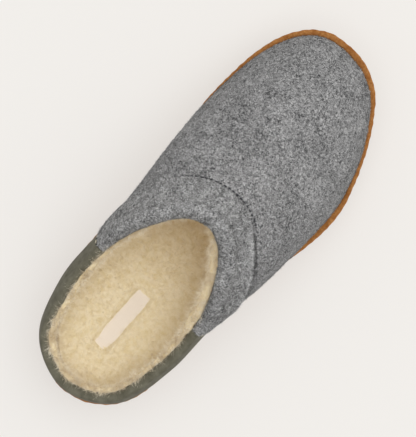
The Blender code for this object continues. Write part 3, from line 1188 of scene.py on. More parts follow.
@dataclass(frozen=True)
class LooseEdge:
    """Stretch of the cuff's lower edge that stands off, along the throat's outer side."""

    start: float = 146.0
    start_run: float = 26.0
    end: float = 290.0
    end_run: float = 50.0
    rise: float = 0.045

    def share(self, at: Array, before: float = 0.0) -> Array:
        """Share by which the edge stands off, starting a length before its own start."""
        return ramp(at - self.start + before, self.start_run) * ramp(self.end - at, self.end_run)

    def cuff_start(self, at: Array) -> Array:
        """Share of the wall at which the cuff starts, higher where its edge stands off."""
        return LAST.cuff_share(at) + self.rise * self.share(at)


LOOSE = LooseEdge()


def felt_hairs(roots: Array, normal: Array, up_way: Array, seed: int) -> Strands:
    """Short hairs lying on felt, a few standing up, pale and dark ones in patches.

    Args:
        roots: where they start.
        normal: way out of the felt.
        up_way: a way along the felt.
        seed: picks the pattern.

    Returns:
        The hairs.
    """
    rng = np.random.default_rng(seed)
    count = len(roots)
    turn = rng.uniform(0.0, 2 * np.pi, count)[:, None]
    flat = np.cos(turn) * up_way + np.sin(turn) * np.cross(normal, up_way)
    lift = 0.04 + 0.5 * rng.uniform(0.0, 1.0, count)[:, None] ** 5
    patches = (Lump(3.6, 0.24, seed),)
    return Strands(
        roots=roots,
        ways=flat * (1.0 - lift) + normal * lift,
        leans=-0.25 * normal * lift,
        lengths=rng.uniform(1.4, 3.2, count),
        widths=rng.uniform(0.26, 0.42, count),
        curl=0.35,
        shades=np.clip(rng.beta(0.7, 0.9, count) + uneven(roots, patches), 0.0, 1.0),
        faces=normal,
        tumble=0.4,
        levels=2,
        seed=seed,
    )


@dataclass
class Band:
    """Band over the wall from one place up to the rim, rolled over the rim and hooked down inside it."""

    start: float = 0.0
    end: float = 0.0
    faces: int = 220
    rounding: float = 1.2
    end_thickness: float = 0.35
    end_shares: tuple[float, ...] = (0.0, 0.08, 0.25, 0.55, 1.0)
    seam_half_gap: float = 0.25
    outside_rows: int = 26
    cap_rows: int = 12
    hook_rows: int = 4
    hook: float = 4.5
    cap_clear_turn: float = 0.2

    @property
    def rows(self) -> int:
        """Faces round the section."""
        return 2 * (self.outside_rows + self.cap_rows + self.hook_rows) + 2

    @property
    def places(self) -> Array:
        """Places along the band.

        Returns:
            Places round the shoe, closer together at the two ends.
        """
        start, end = self.start + self.seam_half_gap, self.end - self.seam_half_gap
        near = self.rounding * np.array(self.end_shares)
        middle = np.linspace(start + self.rounding, end - self.rounding, self.faces + 1)
        return np.concatenate([start + near[:-1], middle, end - near[-2::-1]])

    def step(self, row: Array) -> Array:
        """Rows counted from the lower edge, alike on the band's outer and inner face."""
        row = row % self.rows
        return np.minimum(row, self.rows - 1 - row)

    def share_up(self, row: Array) -> Array:
        """Share of the way from the band's lower edge up to the rim."""
        return ramp(self.step(row), self.outside_rows)

    def ends(self, at: Array) -> Array:
        """Share of the thickness that is left toward the band's two ends."""
        from_end = np.minimum(at - self.places[0], self.places[-1] - at)
        return self.end_thickness + (1.0 - self.end_thickness) * rounded(ramp(from_end, self.rounding))

    def skin(self, at: Array, row: Array) -> Array:
        """Points of the band at places round the shoe. Each kind has its own."""
        raise NotImplementedError

    def place(self, column: Array, row: Array) -> Array:
        """Points of the band at columns and rows."""
        return self.skin(self.places[column], row)

    def loop(
        self, at: Array, row: Array, start_share: Array, outer: Array, rise: Array, fold: float
    ) -> Array:
        """Points of the band's section at each place.

        Args:
            at: places round the shoe.
            row: row number round the section, from the lower edge up the outside and back inside.
            start_share: share of the wall at which the band starts.
            outer: thickness there, for each point's own share up.
            rise: height of the roll over the rim.
            fold: thickness inside the rim.

        Returns:
            The points.
        """
        top = self.outside_rows
        over = top + self.cap_rows
        step = self.step(row)
        back = row % self.rows >= self.rows // 2
        inner_face = -LAST.wall - LAST.gap
        up_wall = start_share + self.share_up(row) * (1.0 - start_share)
        wall = LAST.wall_point(at, up_wall, np.where(back, LAST.gap, LAST.gap + outer))
        across = ramp(step - top, self.cap_rows)
        turn = across * np.pi
        wide = LAST.gap + outer - (inner_face - fold)
        outside = LAST.gap + outer - wide * (1.0 - np.cos(turn)) / 2
        inside = LAST.gap + across * (inner_face - LAST.gap)
        clear = LAST.gap * np.sin(np.clip(turn, self.cap_clear_turn, np.pi - self.cap_clear_turn))
        cap = LAST.rim_point(
            at, np.where(back, inside, outside), clear + np.where(back, 0.0, rise * np.sin(turn))
        )
        under = LAST.share_under_rim(at, ramp(step - over, self.hook_rows) * self.hook)
        hooked = LAST.wall_point(at, under, np.where(back, inner_face, inner_face - fold))
        points = np.where((step > top)[:, None], cap, wall)
        return np.where((step > over)[:, None], hooked, points)

    def lay(self) -> bmesh.types.BMesh:
        """Lays the band's mesh.

        Returns:
            The mesh, closed at its two ends.
        """
        bm = lay_grid(len(self.places) - 1, self.rows, self.place)
        close_ladder(bm, "row", self.rows // 2)
        return bm


@dataclass
class FeltCuff(Band):
    """Puffed felt band round the throat, sewn down along its lower edge."""

    start: float = LAST.outer_seam
    end: float = LAST.inner_seam
    faces: int = 380
    rounding: float = 1.6
    end_thickness: float = 0.5
    edge: float = 2.8
    edge_round: float = 0.06
    sewn_blunt: float = 0.35
    loose_blunt: float = 0.8
    rise_share: float = 0.75
    fold: float = 0.8
    flare: float = 2.4
    flare_width: float = 0.2
    even_to: float = 0.2
    lumps: tuple[Lump, ...] = (Lump(16.0, 0.5, 31), Lump(5.0, 0.15, 32))
    creases: tuple[Crease, ...] = (
        Crease(8, 147, 20, 141, 4.0, 2.0),
        Crease(20, 141, 30, 130, 4.0, 2.4),
        Crease(20, 131, 24, 142, 2.0, 1.2),
        Crease(-16, 146, -34, 122, 5.0, 1.2),
        Crease(30, 128, 37, 112, 5.0, 1.4),
    )
    hairs: int = 20000
    hair_end: float = 1.0
    hair_rows: Pair = (1.8, 1.5)
    loose_hair_rows: float = 0.8
    painted_highlight_rows: float = 3.0
    painted_highlight: float = 0.65
    stitch: Triple = (2.4, 0.9, 0.8)
    stitch_pitch: float = 3.1
    stitch_under: float = 0.007
    stitch_lift: float = 0.3
    stitch_end: float = 2.0
    sewn_to: float = 0.55

    def thickness(self, at: Array, share: Array) -> Array:
        """Thickness of the cuff, thin at its sewn edge, blunt where it is loose and puffed at the rim.

        Args:
            at: places round the shoe.
            share: shares of the way up the cuff.

        Returns:
            One thickness for each.
        """
        crest = LAST.crest(at)
        edge = np.minimum(self.edge, crest)
        blunt = self.sewn_blunt + (self.loose_blunt - self.sewn_blunt) * LOOSE.share(at)
        plump = blunt + (1.0 - blunt) * rounded(ramp(share, self.edge_round))
        flare = self.flare * LOOSE.share(at) * bell(share, self.flare_width)
        return (edge + share * (crest - edge) + flare) * plump

    def skin(self, at: Array, row: Array) -> Array:
        """Points of the cuff with its soft lumps and creases.

        Args:
            at: places round the shoe.
            row: rows round the section.

        Returns:
            One point for each.
        """
        share = self.share_up(row)
        start = LOOSE.cuff_start(at)
        plain = LAST.wall_curve(at, start + share * (1.0 - start))
        soft = uneven(plain, self.lumps) - creased(plain, self.creases)
        outer = self.thickness(at, share) * self.ends(at) + soft * ramp(share, self.even_to)
        return self.loop(at, row, start, outer, self.rise_share * LAST.crest(at), self.fold)

    def edge_places(self) -> Array:
        """Places of the stitches, evenly spaced along the sewn part of the cuff's lower edge.

        Returns:
            Places round the shoe.
        """
        dense = np.linspace(self.start + self.stitch_end, self.end - self.stitch_end, LAST.dense)
        reach = reach_along(LAST.wall_curve(dense, LAST.cuff_share(dense)))
        at = np.interp(np.arange(0.0, reach[-1], self.stitch_pitch), reach, dense)
        return at[LOOSE.share(at) < self.sewn_to]

    def stitch_point(self, at: Array) -> Array:
        """Points of the seam just under the cuff's lower edge."""
        return LAST.wall_point(at, LAST.cuff_share(at) - self.stitch_under, self.stitch_lift)

    def build(self) -> None:
        """Makes the cuff, its hairs and the stitches along its lower edge."""
        cuff = add_piece("felt_cuff", self.lay(), FELT, Slot.GREY_FELT, "collar_cuff")
        rng = np.random.default_rng(33)
        at = rng.uniform(self.start + self.hair_end, self.end - self.hair_end, self.hairs)
        first, last = self.hair_rows
        row = rng.uniform(first - self.loose_hair_rows * LOOSE.share(at), self.rows // 2 - last)
        hairs = felt_hairs(self.skin(at, row), *surface_frame(self.skin, at, row), 34)
        # Painted highlight: where the cut edge stands off, its hairs are made pale, in place of the light
        # that the edge catches.
        hairs.shades = np.maximum(hairs.shades, self.painted_highlight * LOOSE.share(at) * (row < self.painted_highlight_rows))
        show("felt_cuff_hairs", hairs.mesh("felt_cuff_hairs"), PAINTED_LIGHT_CUFF_HAIRS, Slot.GREY_FELT)
        at = self.edge_places()
        middles = self.stitch_point(at)
        ahead = self.stitch_point(at + SEAM_STEP)
        normal, _ = LAST.wall_frame(at, LAST.cuff_share(at) - self.stitch_under)
        stitches = [Stitch(*row) for row in zip(middles, ahead - middles, normal)]
        sew("cuff_stitches", stitches, self.stitch, DARK_THREAD, Slot.GREY_FELT)


@dataclass
class FeltUpper:
    """Hollow wall of grey felt with its soft dents, and the hairs that lie over it."""

    cuff: FeltCuff = field(default_factory=FeltCuff)
    columns: int = 560
    wall_rows: int = 68
    edge_rows: int = 28
    hidden_rows: int = 8
    inner_rows: int = 12
    edge_from: float = -0.06
    edge_to: float = 0.085
    edge_most: float = 0.99
    even_foot: float = 0.06
    even_rim: float = 0.05
    groove: float = 1.0
    groove_width: float = 0.012
    swell: float = 1.2
    swell_share: float = 0.1
    swell_width: float = 0.05
    # Slot under the cuff's loose edge, which gives the edge its dark line.
    slot: float = 3.4
    slot_most: float = 8.0
    slot_before: float = 14.0
    slot_at: float = 0.02
    slot_past: float = 0.005
    slot_upward_least: float = 0.1
    slot_back: float = 1.2
    slot_back_width: float = 0.12
    slot_shape: tuple[Pair, ...] = ((-1.4, 0.0), (-1.0, 1.0), (0.1, 1.0), (0.6, 0.0))
    lumps: tuple[Lump, ...] = (Lump(24.0, 0.35, 11), Lump(9.0, 0.16, 12), Lump(3.2, 0.07, 13))
    creases: tuple[Crease, ...] = (
        Crease(-46, 160, -50, 120, 7.0, 0.7),
        Crease(18, 214, 30, 176, 10.0, 0.7),
        Crease(-22, 226, -4, 190, 12.0, 0.5),
        Crease(-2, 206, 10, 178, 9.0, -0.5),
        Crease(18, 166, 28, 181, 5.0, 0.9),
    )
    hairs: int = 48000
    hair_shares: Pair = (0.02, 0.92)
    hair_spread: float = 0.95
    hairs_under_cuff: float = 0.022
    hairs_under_loose: float = 0.004

    @property
    def outer_rows(self) -> int:
        """Faces up the outer face."""
        return self.wall_rows + self.edge_rows + self.hidden_rows

    @property
    def rows(self) -> int:
        """Faces round the wall's section."""
        return self.outer_rows + self.inner_rows + 2

    def relief(self, at: Array, share: Array) -> Array:
        """Height of the felt's lumps over the plain wall, less its creases and the groove of the cuff's seam.

        Args:
            at: places round the shoe.
            share: shares of the way up.

        Returns:
            One height for each.
        """
        points = LAST.wall_point(at, share, 0.0)
        groove = self.groove * (1.0 - LOOSE.share(at)) * bell(share - LAST.cuff_share(at), self.groove_width)
        swell = self.swell * bell(share - self.swell_share, self.swell_width)
        return uneven(points, self.lumps) + swell - creased(points, self.creases) - groove

    def sunk(self, at: Array, share: Array) -> Array:
        """Depth, straight down, of the slot between the wall and the cuff's loose edge.

        Args:
            at: places round the shoe.
            share: shares of the way up.

        Returns:
            One depth for each.
        """
        edge = LOOSE.cuff_start(at)
        normal, _ = LAST.wall_frame(at, edge)
        upward = np.maximum(normal[:, 2], self.slot_upward_least)
        proud = LAST.gap + self.cuff.thickness(at, np.full_like(at, self.slot_at))
        overhang = self.slot_past + proud * np.sqrt(1.0 - upward**2) / (LAST.wall_speed(at, edge) * upward)
        shape = np.interp((share - edge) / overhang, *zip(*self.slot_shape))
        return shape * LOOSE.share(at, self.slot_before) * np.minimum(self.slot / upward, self.slot_most)

    def share_up(self, at: Array, row: Array) -> Array:
        """Share up the wall at each row of the outer face, with rows close together at the cuff's edge.

        Args:
            at: places round the shoe.
            row: rows from the foot up.

        Returns:
            One share for each.
        """
        edge = LAST.cuff_share(at)
        low, high = edge + self.edge_from, np.minimum(edge + self.edge_to, self.edge_most)
        near = row - self.wall_rows
        past = near - self.edge_rows
        share = low + near * np.where(near < 0, low / self.wall_rows, (high - low) / self.edge_rows)
        return np.where(past > 0, high + past * (1.0 - high) / self.hidden_rows, share)

    def place(self, column: Array, row: Array) -> Array:
        """Points up the outer face, over the rim and down the inner face.

        Args:
            column: numbers round the shoe.
            row: numbers round the section.

        Returns:
            One point for each.
        """
        at = column * LAST.round / self.columns
        row = row % self.rows
        outside = row <= self.outer_rows
        share_down = 1.0 - (row - self.outer_rows - 1) / self.inner_rows
        share = np.where(outside, self.share_up(at, row), share_down)
        share = np.where(np.abs(share) < WELD, 0.0, share)
        fade = ramp(share, self.even_foot) * ramp(1.0 - share, self.even_rim)
        beside = bell(share - LOOSE.cuff_start(at), self.slot_back_width) * LOOSE.share(at, self.slot_before)
        inside = -LAST.wall - self.slot_back * beside
        points = LAST.wall_point(at, share, np.where(outside, fade * self.relief(at, share), inside))
        points[:, 2] -= np.where(outside, self.sunk(at, share), 0.0)
        return points

    def build(self) -> None:
        """Makes the wall and its hairs, spread evenly over it up to the cuff."""
        bm = lay_grid(self.columns, self.rows, self.place)
        add_piece("felt_upper", bm, FELT, Slot.GREY_FELT, "upper")
        rng = np.random.default_rng(21)
        at = rng.uniform(LAST.outer_seam, LAST.inner_seam, self.hairs * 2)
        share = rng.uniform(*self.hair_shares, self.hairs * 2)
        across = LAST.wall_curve(at + ROUND_STEP, share) - LAST.wall_curve(at - ROUND_STEP, share)
        spread = rng.uniform(0.0, self.hair_spread, len(at)) < np.linalg.norm(across, axis=1)
        under = self.hairs_under_cuff + (self.hairs_under_loose - self.hairs_under_cuff) * LOOSE.share(at)
        kept = spread & (share < LAST.cuff_share(at) - under)
        at, share = at[kept][: self.hairs], share[kept][: self.hairs]
        roots = LAST.wall_point(at, share, self.relief(at, share))
        hairs = felt_hairs(roots, *LAST.wall_frame(at, share), 22)
        show("felt_upper_hairs", hairs.mesh("felt_upper_hairs"), FELT_HAIRS, Slot.GREY_FELT)


@dataclass
class HeelCounter(Band):
    """Nubuck overlay round the heel, turned over the rim, sewn along its two front edges."""

    start: float = LAST.inner_seam - LAST.round
    end: float = LAST.outer_seam
    thickness: float = 1.4
    outside_rows: int = 30
    even_edge: float = 0.1
    lumps: tuple[Lump, ...] = (Lump(18.0, 0.22, 41), Lump(6.0, 0.08, 42))
    seam_inset: float = 1.5
    seam_pitch: float = 7.2
    seam_start: float = 5.5
    seam_end: float = 1.0
    seam_steps: int = 400
    stitch: Triple = (4.4, 1.1, 0.9)
    hole: Triple = (1.3, 1.1, 0.5)
    felt_hole_ahead: float = 3.4
    felt_hole_shift: float = 0.3
    felt_hole_lift: float = 0.05
    tack_from: Pair = (52.0, 48.0)
    tack_to: Pair = (82.0, 53.0)
    tack_drops: tuple[float, ...] = (0.0, 3.2)
    tack_count: int = 11
    tack: Triple = (1.9, 0.8, 0.6)
    tack_lift: float = 0.1

    def skin(self, at: Array, row: Array) -> Array:
        """Points of the leather.

        Args:
            at: places round the shoe.
            row: rows round the section.

        Returns:
            One point for each.
        """
        share = self.share_up(row)
        soft = uneven(LAST.wall_curve(at, share), self.lumps)
        soft = soft * ramp(share, self.even_edge) * ramp(1.0 - share, self.even_edge)
        outer = self.thickness * self.ends(at) + soft
        return self.loop(at, row, np.zeros_like(at), outer, np.full_like(at, self.thickness), self.thickness)

    def seam_row(self, at: float, shift: float, offset: float) -> list[Stitch]:
        """Stitches up the wall at one place.

        Args:
            at: place round the shoe.
            shift: share of the pitch by which the row starts late.
            offset: distance outside the wall.

        Returns:
            The stitches from the sole to the rim.
        """
        share = np.linspace(0.0, 1.0, self.seam_steps)
        reach = reach_along(LAST.wall_curve(np.full_like(share, at), share))
        first = self.seam_start + shift * self.seam_pitch
        share = np.interp(np.arange(first, reach[-1] - self.seam_end, self.seam_pitch), reach, share)
        places = np.full_like(share, at)
        normal, up_way = LAST.wall_frame(places, share)
        return [Stitch(*row) for row in zip(LAST.wall_point(places, share, offset), up_way, normal)]

    def tack_row(self, shift: float, drop: float, lift: float) -> list[Stitch]:
        """Stitches of the short reinforcing row on the outer side.

        Args:
            shift: share of the pitch by which the row starts late.
            drop: distance under the row's own line.
            lift: distance over the leather.

        Returns:
            The stitches.
        """
        rows = []
        offset = LAST.gap + self.thickness + lift
        for k in range(self.tack_count):
            t = (k + shift) / self.tack_count
            y, z = (a + t * (b - a) for a, b in zip(self.tack_from, self.tack_to))
            at, share = (np.array([value]) for value in LAST.wall_at(y, z - drop))
            middle = LAST.wall_point(at, share, offset)[0]
            ahead = LAST.wall_point(at + SEAM_STEP, share, offset)[0]
            rows.append(Stitch(middle, ahead - middle, LAST.wall_frame(at, share)[0][0]))
        return rows

    def build(self) -> None:
        """Makes the leather, its seams and the reinforcing rows."""
        add_piece("nubuck_counter", self.lay(), NUBUCK, Slot.NUBUCK, "heel_counter")
        seams = ((LAST.outer_seam, -1), (LAST.inner_seam, 1))
        inset = [at + back * self.seam_inset for at, back in seams]
        ahead = [at - back * self.felt_hole_ahead for at, back in seams]
        on_leather = LAST.gap + self.thickness
        stitches = [row for at in inset for row in self.seam_row(at, 0.5, on_leather)]
        sew("counter_seam_stitches", stitches, self.stitch, CREAM_THREAD, Slot.NUBUCK)
        holes = [row for at in inset for row in self.seam_row(at, 0.0, on_leather)]
        holes += [row for at in ahead for row in self.seam_row(at, self.felt_hole_shift, self.felt_hole_lift)]
        holes += [row for drop in self.tack_drops for row in self.tack_row(0.5, drop, 0.0)]
        sew("counter_needle_holes", holes, self.hole, HOLE, Slot.NUBUCK)
        tacks = [row for drop in self.tack_drops for row in self.tack_row(0.0, drop, self.tack_lift)]
        sew("counter_tack_stitches", tacks, self.tack, CREAM_THREAD, Slot.NUBUCK)


@dataclass
class Footbed:
    """Footbed of cream pile, with a blank woven patch on it."""

    thickness: float = 8.0
    side_gap: float = 0.5
    edge_round: float = 2.0
    edge_height: float = 6.0
    end_slope: float = 1.5
    cup: float = 5.0
    cup_width: float = 8.0
    loft: float = 3.0
    press_width: float = 1.8
    bedded: float = 1.6
    columns: int = 64
    rows: int = 160
    border_steps: int = 600
    sunk: float = 1.0
    lumps: tuple[Lump, ...] = (Lump(9.0, 0.5, 51), Lump(3.6, 0.3, 52))
    curls: int = 26000
    curls_to_y: float = 172.0
    open_past: float = 10.0
    open_run: float = 40.0
    curl_edge: float = 1.0
    curl_sunk: float = 0.6
    tuft: float = 3.4
    label_x: float = 1.2
    label_y: float = 56.5
    label_size: Pair = (12.0, 47.0)
    label_faces: tuple[int, int] = (26, 94)
    label_thickness: float = 0.8
    label_over: float = 0.1
    label_sag: float = 0.5
    label_sag_width: float = 1.2
    label_under_curls: float = 1.8
    label_lumps: tuple[Lump, ...] = (Lump(14.0, 0.3, 58),)
    border: tuple[Array, Array, Array] = field(init=False)

    def __post_init__(self) -> None:
        """Works out the footbed's two sides as functions of y."""
        at = np.linspace(0.0, LAST.round, LAST.dense)
        flat, _ = LAST.inset(at, LAST.foot_inset(at) + LAST.wall + LAST.gap + self.side_gap)
        heel, toe = int(np.argmin(flat[:, 1])), int(np.argmax(flat[:, 1]))
        ring = np.roll(flat, -heel, axis=0)
        turn = (toe - heel) % len(ring)
        y = np.linspace(ring[0, 1], ring[turn, 1], self.border_steps)
        outer = np.interp(y, ring[: turn + 1, 1], ring[: turn + 1, 0])
        inner = np.interp(y, ring[: turn - 1 : -1, 1], ring[: turn - 1 : -1, 0])
        self.border = (y, inner, outer)

    def sides(self, y: Array) -> tuple[Array, Array]:
        """Inner and outer x of the footbed at each y."""
        ends, inner, outer = self.border
        return np.interp(y, ends, inner), np.interp(y, ends, outer)

    def past_label(self, x: Array, y: Array, inside: float) -> tuple[Array, Array]:
        """Distances past the patch's edges, moved in by a length, along x and along y."""
        wide, long = self.label_size
        return np.abs(x - self.label_x) - wide / 2 + inside, np.abs(y - self.label_y) - long / 2 + inside

    def top(self, x: Array, y: Array) -> Array:
        """Height of the pile's base over the sole's top: pressed down by the patch, curled up at the wall.

        Args:
            x: distances across the shoe.
            y: distances from the back of the sole.

        Returns:
            One height for each.
        """
        low, high = self.sides(y)
        ends = self.border[0]
        apart = np.minimum(high - x, x - low)
        apart = np.minimum(apart, np.minimum(y - ends[0], ends[-1] - y) * self.end_slope)
        soft = uneven(np.column_stack([x, y, np.zeros_like(x)]), self.lumps)
        past_x, past_y = (np.clip(past, 0.0, None) for past in self.past_label(x, y, self.bedded))
        pressed = np.exp(-(past_x**2 + past_y**2) / self.press_width**2)
        lofty = self.loft * (1.0 - pressed) + self.cup * np.exp(-apart / self.cup_width)
        open_part = ramp(self.curls_to_y + self.open_past - y, self.open_run)
        crown = self.thickness - self.sunk + soft + lofty * open_part - self.edge_height
        return LAST.gap + self.edge_height + crown * rounded(ramp(apart, self.edge_round))

    def place(self, column: Array, row: Array) -> Array:
        """Points of the pile's base.

        Args:
            column: numbers across the shoe.
            row: numbers from heel to toe.

        Returns:
            One point for each.
        """
        ends = self.border[0]
        y = ends[0] + (ends[-1] - ends[0]) * (1.0 - np.cos(np.pi * row / self.rows)) / 2
        low, high = self.sides(y)
        x = low + (high - low) * column / self.columns
        return LAST.on_sole(np.column_stack([x, y]), self.top(x, y))

    def place_label(self, column: Array, row: Array) -> Array:
        """Points of the patch's top, which sags a little toward its edges.

        Args:
            column: numbers across the patch.
            row: numbers along it.

        Returns:
            One point for each.
        """
        (wide, long), (columns, rows) = self.label_size, self.label_faces
        x = self.label_x + wide * (column / columns - 0.5)
        y = self.label_y + long * (row / rows - 0.5)
        sag = self.label_sag * np.exp(np.maximum(*self.past_label(x, y, 0.0)) / self.label_sag_width)
        points = np.column_stack([x, y, np.zeros_like(x)])
        height = self.thickness + self.label_over - sag + uneven(points, self.label_lumps)
        return LAST.on_sole(points[:, :2], height)

    def curl_strands(self) -> Strands:
        """Curls over the open part of the footbed, leaning in tufts, clear of the patch.

        Returns:
            The curls.
        """
        rng = np.random.default_rng(53)
        ends, inner, outer = self.border
        y = rng.uniform(ends[0] + self.curl_edge, self.curls_to_y, self.curls * 2)
        x = rng.uniform(inner.min(), outer.max(), len(y))
        past_x, past_y = self.past_label(x, y, self.label_under_curls)
        low, high = self.sides(y)
        kept = (x > low + self.curl_edge) & (x < high - self.curl_edge) & ((past_x > 0) | (past_y > 0))
        x, y = x[kept][: self.curls], y[kept][: self.curls]
        roots = LAST.on_sole(np.column_stack([x, y]), self.top(x, y) - self.curl_sunk)
        tuft = np.column_stack([lumps(roots, self.tuft, 54), lumps(roots, self.tuft, 55), np.zeros(len(x))])
        loose = rng.normal(0.0, 0.3, (len(x), 3))
        pale = 0.5 + uneven(roots, (Lump(6.0, 0.25, 56),)) + rng.normal(0.0, 0.2, len(x))
        return Strands(
            roots=roots,
            ways=np.array([0.0, 0.0, 0.8]) + 0.4 * tuft + loose,
            leans=0.6 * tuft + 0.8 * loose,
            lengths=rng.uniform(1.4, 2.6, len(x)),
            widths=rng.uniform(0.2, 0.4, len(x)),
            curl=0.5,
            shades=np.clip(pale, 0.0, 1.0),
            faces=np.zeros_like(roots),
            levels=2,
            seed=57,
        )

    def build(self) -> None:
        """Makes the footbed, its curls and the blank patch, bedded in the pile."""
        bm = lay_grid(self.columns, self.rows, self.place)
        raised = bmesh.ops.extrude_face_region(bm, geom=bm.faces[:])
        for vert in (item for item in raised["geom"] if isinstance(item, bmesh.types.BMVert)):
            y = vert.co.y / MM + LAST.centre[1]
            vert.co.z = (LAST.sole_top(np.array([y]))[0] + LAST.gap) * MM
        bed = add_piece("pile_footbed", bm, WOOL_PILE, Slot.CREAM_PILE, "insole")
        show("footbed_curls", self.curl_strands().mesh("footbed_curls"), WOOL_CURLS, Slot.CREAM_PILE)
        bm = lay_grid(*self.label_faces, self.place_label)
        bmesh.ops.solidify(bm, geom=bm.faces[:], thickness=self.label_thickness * MM)
        add_piece("blank_label", bm, TAPE, Slot.LABEL_TAPE, "insole_label", sharp=50.0)


class LiningStop(NamedTuple):
    """Distance of the lining's roll inside the wall's outer face, at a place round the shoe."""

    at: float
    inside: float


class Curls(NamedTuple):
    """Kind of curls on the lining: their rows, how they stand, their sizes and their shade."""

    piece: str
    count: int
    first_row: float
    last_row: float
    tuft: float
    tuft_seeds: tuple[int, int, int]
    scatter: float
    inward: float
    up: float
    rim_up: float
    outward: float
    tuft_lean: float
    scatter_bend: float
    outward_bend: float
    lengths: Pair
    widths: Pair
    pale: float
    shade: Lump
    levels: int
    seed: int


@dataclass
class PileLining:
    """Wool pile that lines the upper, thick along the collar's outer side, with tufts over the edge."""

    columns: int = 360
    roll_rows: int = 14
    wall_rows: int = 26
    sheet: float = 0.5
    insides: tuple[LiningStop, ...] = (
        LiningStop(0.0, 4.6),
        LiningStop(LAST.outer_seam - 40, 5.2),
        LiningStop(LAST.outer_seam - 12, 5.8),
        LiningStop(LAST.outer_seam, 4.2),
        LiningStop(LAST.toe_at, 4.0),
        LiningStop(LAST.inner_seam, 4.2),
        LiningStop(LAST.inner_seam + 30, 3.3),
        LiningStop(LAST.round - 45, 3.3),
        LiningStop(LAST.round, 4.6),
    )
    # The thick roll runs along the collar's outer side, and the spill over the leather along the inner one.
    thick_start: float = LAST.outer_seam - 10
    thick_start_run: float = 12.0
    thick_end: float = LAST.toe_at + 30
    thick_end_run: float = 60.0
    spill_start_run: float = 30.0
    spill_end: float = LAST.round - 5
    spill_end_run: float = 40.0
    roll: float = 1.3
    spill_roll: float = 0.5
    outer_roll: float = 1.9
    roll_from: float = 10.0
    roll_turn: float = 240.0
    lift: float = 0.8
    spill_lift: float = 1.2
    outer_lift: float = 3.6
    uneven_roll: tuple[Lump, ...] = (Lump(6.0, 0.6, 76),)
    lumps: tuple[Lump, ...] = (Lump(8.0, 0.4, 61), Lump(3.6, 0.5, 62))
    clumps: tuple[Lump, ...] = (Lump(6.5, 1.3, 63),)
    depth: float = 5.4
    depth_fade: float = 12.0
    wall_top: float = 2.0
    foot_height: float = 6.0
    curls_to_y: float = 178.0
    curl_spread: float = 1.1
    curl_sunk: float = 0.4
    curl: float = 0.6

    @property
    def rows(self) -> int:
        """Faces from the roll down to the footbed."""
        return self.roll_rows + self.wall_rows

    @property
    def kinds(self) -> tuple[Curls, Curls]:
        """The two kinds of curls.

        Returns:
            Curls all down the lining, and tufts along the collar's edge.
        """
        lining = Curls(
            "lining_curls", 34000, self.roll_rows * 0.4, self.rows, 3.4, (64, 65, 66), 0.3,
            inward=0.8, up=0.3, rim_up=0.0, outward=0.0, tuft_lean=0.4, scatter_bend=0.6, outward_bend=0.0,
            lengths=(2.0, 3.4), widths=(0.2, 0.4), pale=0.5, shade=Lump(6.0, 0.3, 67), levels=2, seed=68,
        )
        collar = Curls(
            "collar_tufts", 24000, 0.0, self.roll_rows * 0.7, 2.6, (71, 72, 73), 0.35,
            inward=0.5, up=0.0, rim_up=0.5, outward=0.3, tuft_lean=0.8, scatter_bend=0.8, outward_bend=0.2,
            lengths=(1.2, 2.5), widths=(0.25, 0.5), pale=0.6, shade=Lump(5.0, 0.3, 74), levels=3, seed=75,
        )
        return lining, collar

    def thick(self, at: Array) -> Array:
        """Share of the thick roll at places round the shoe."""
        at = at % LAST.round
        starts = ramp(at - self.thick_start, self.thick_start_run)
        return starts * ramp(self.thick_end - at, self.thick_end_run)

    def spill(self, at: Array) -> Array:
        """Share by which the roll spills over the leather."""
        at = at % LAST.round
        starts = ramp(at - LAST.inner_seam, self.spill_start_run)
        return starts * ramp(self.spill_end - at, self.spill_end_run)

    def surface(self, at: Array, row: Array) -> Array:
        """Points of the pile's base: round the roll under the rim, then down the wall to the footbed.

        Args:
            at: places round the shoe.
            row: rows from the roll's outside down.

        Returns:
            One point for each.
        """
        thick, spill = self.thick(at), self.spill(at)
        inside = np.interp(at % LAST.round, *zip(*self.insides))
        ragged = 1.0 + uneven(LAST.wall_curve(at, np.ones_like(at)), self.uneven_roll)
        radius = self.roll + self.outer_roll * thick * ragged + self.spill_roll * spill
        turn = np.radians(self.roll_from + self.roll_turn * ramp(row, self.roll_rows))
        offset = -inside - radius * (1.0 - np.cos(turn))
        lift = self.lift + self.outer_lift * thick + self.spill_lift * spill
        rolled = LAST.rim_point(at, offset, lift - radius * (1.0 - np.sin(turn)))
        down = ramp(row - self.roll_rows, self.wall_rows)
        top = LAST.share_under_rim(at, np.full_like(at, self.wall_top))
        foot = self.foot_height / (3.0 * LAST.sections(at)[:, Column.LEAN_UP])
        share = top + down * (foot - top)
        proud = (2.0 * radius - self.depth + inside) * np.exp(-self.depth_fade * down)
        wall = LAST.wall_point(at, share, -self.depth - proud)
        points = np.where((row > self.roll_rows)[:, None], wall, rolled)
        normal, _ = LAST.wall_frame(at, np.clip(share, 0.05, 0.98))
        soft = uneven(points, self.lumps) + thick * uneven(points, self.clumps)
        return points - normal * soft[:, None]

    def place(self, column: Array, row: Array) -> Array:
        """Points of the base sheet."""
        return self.surface(column * LAST.round / self.columns, row)

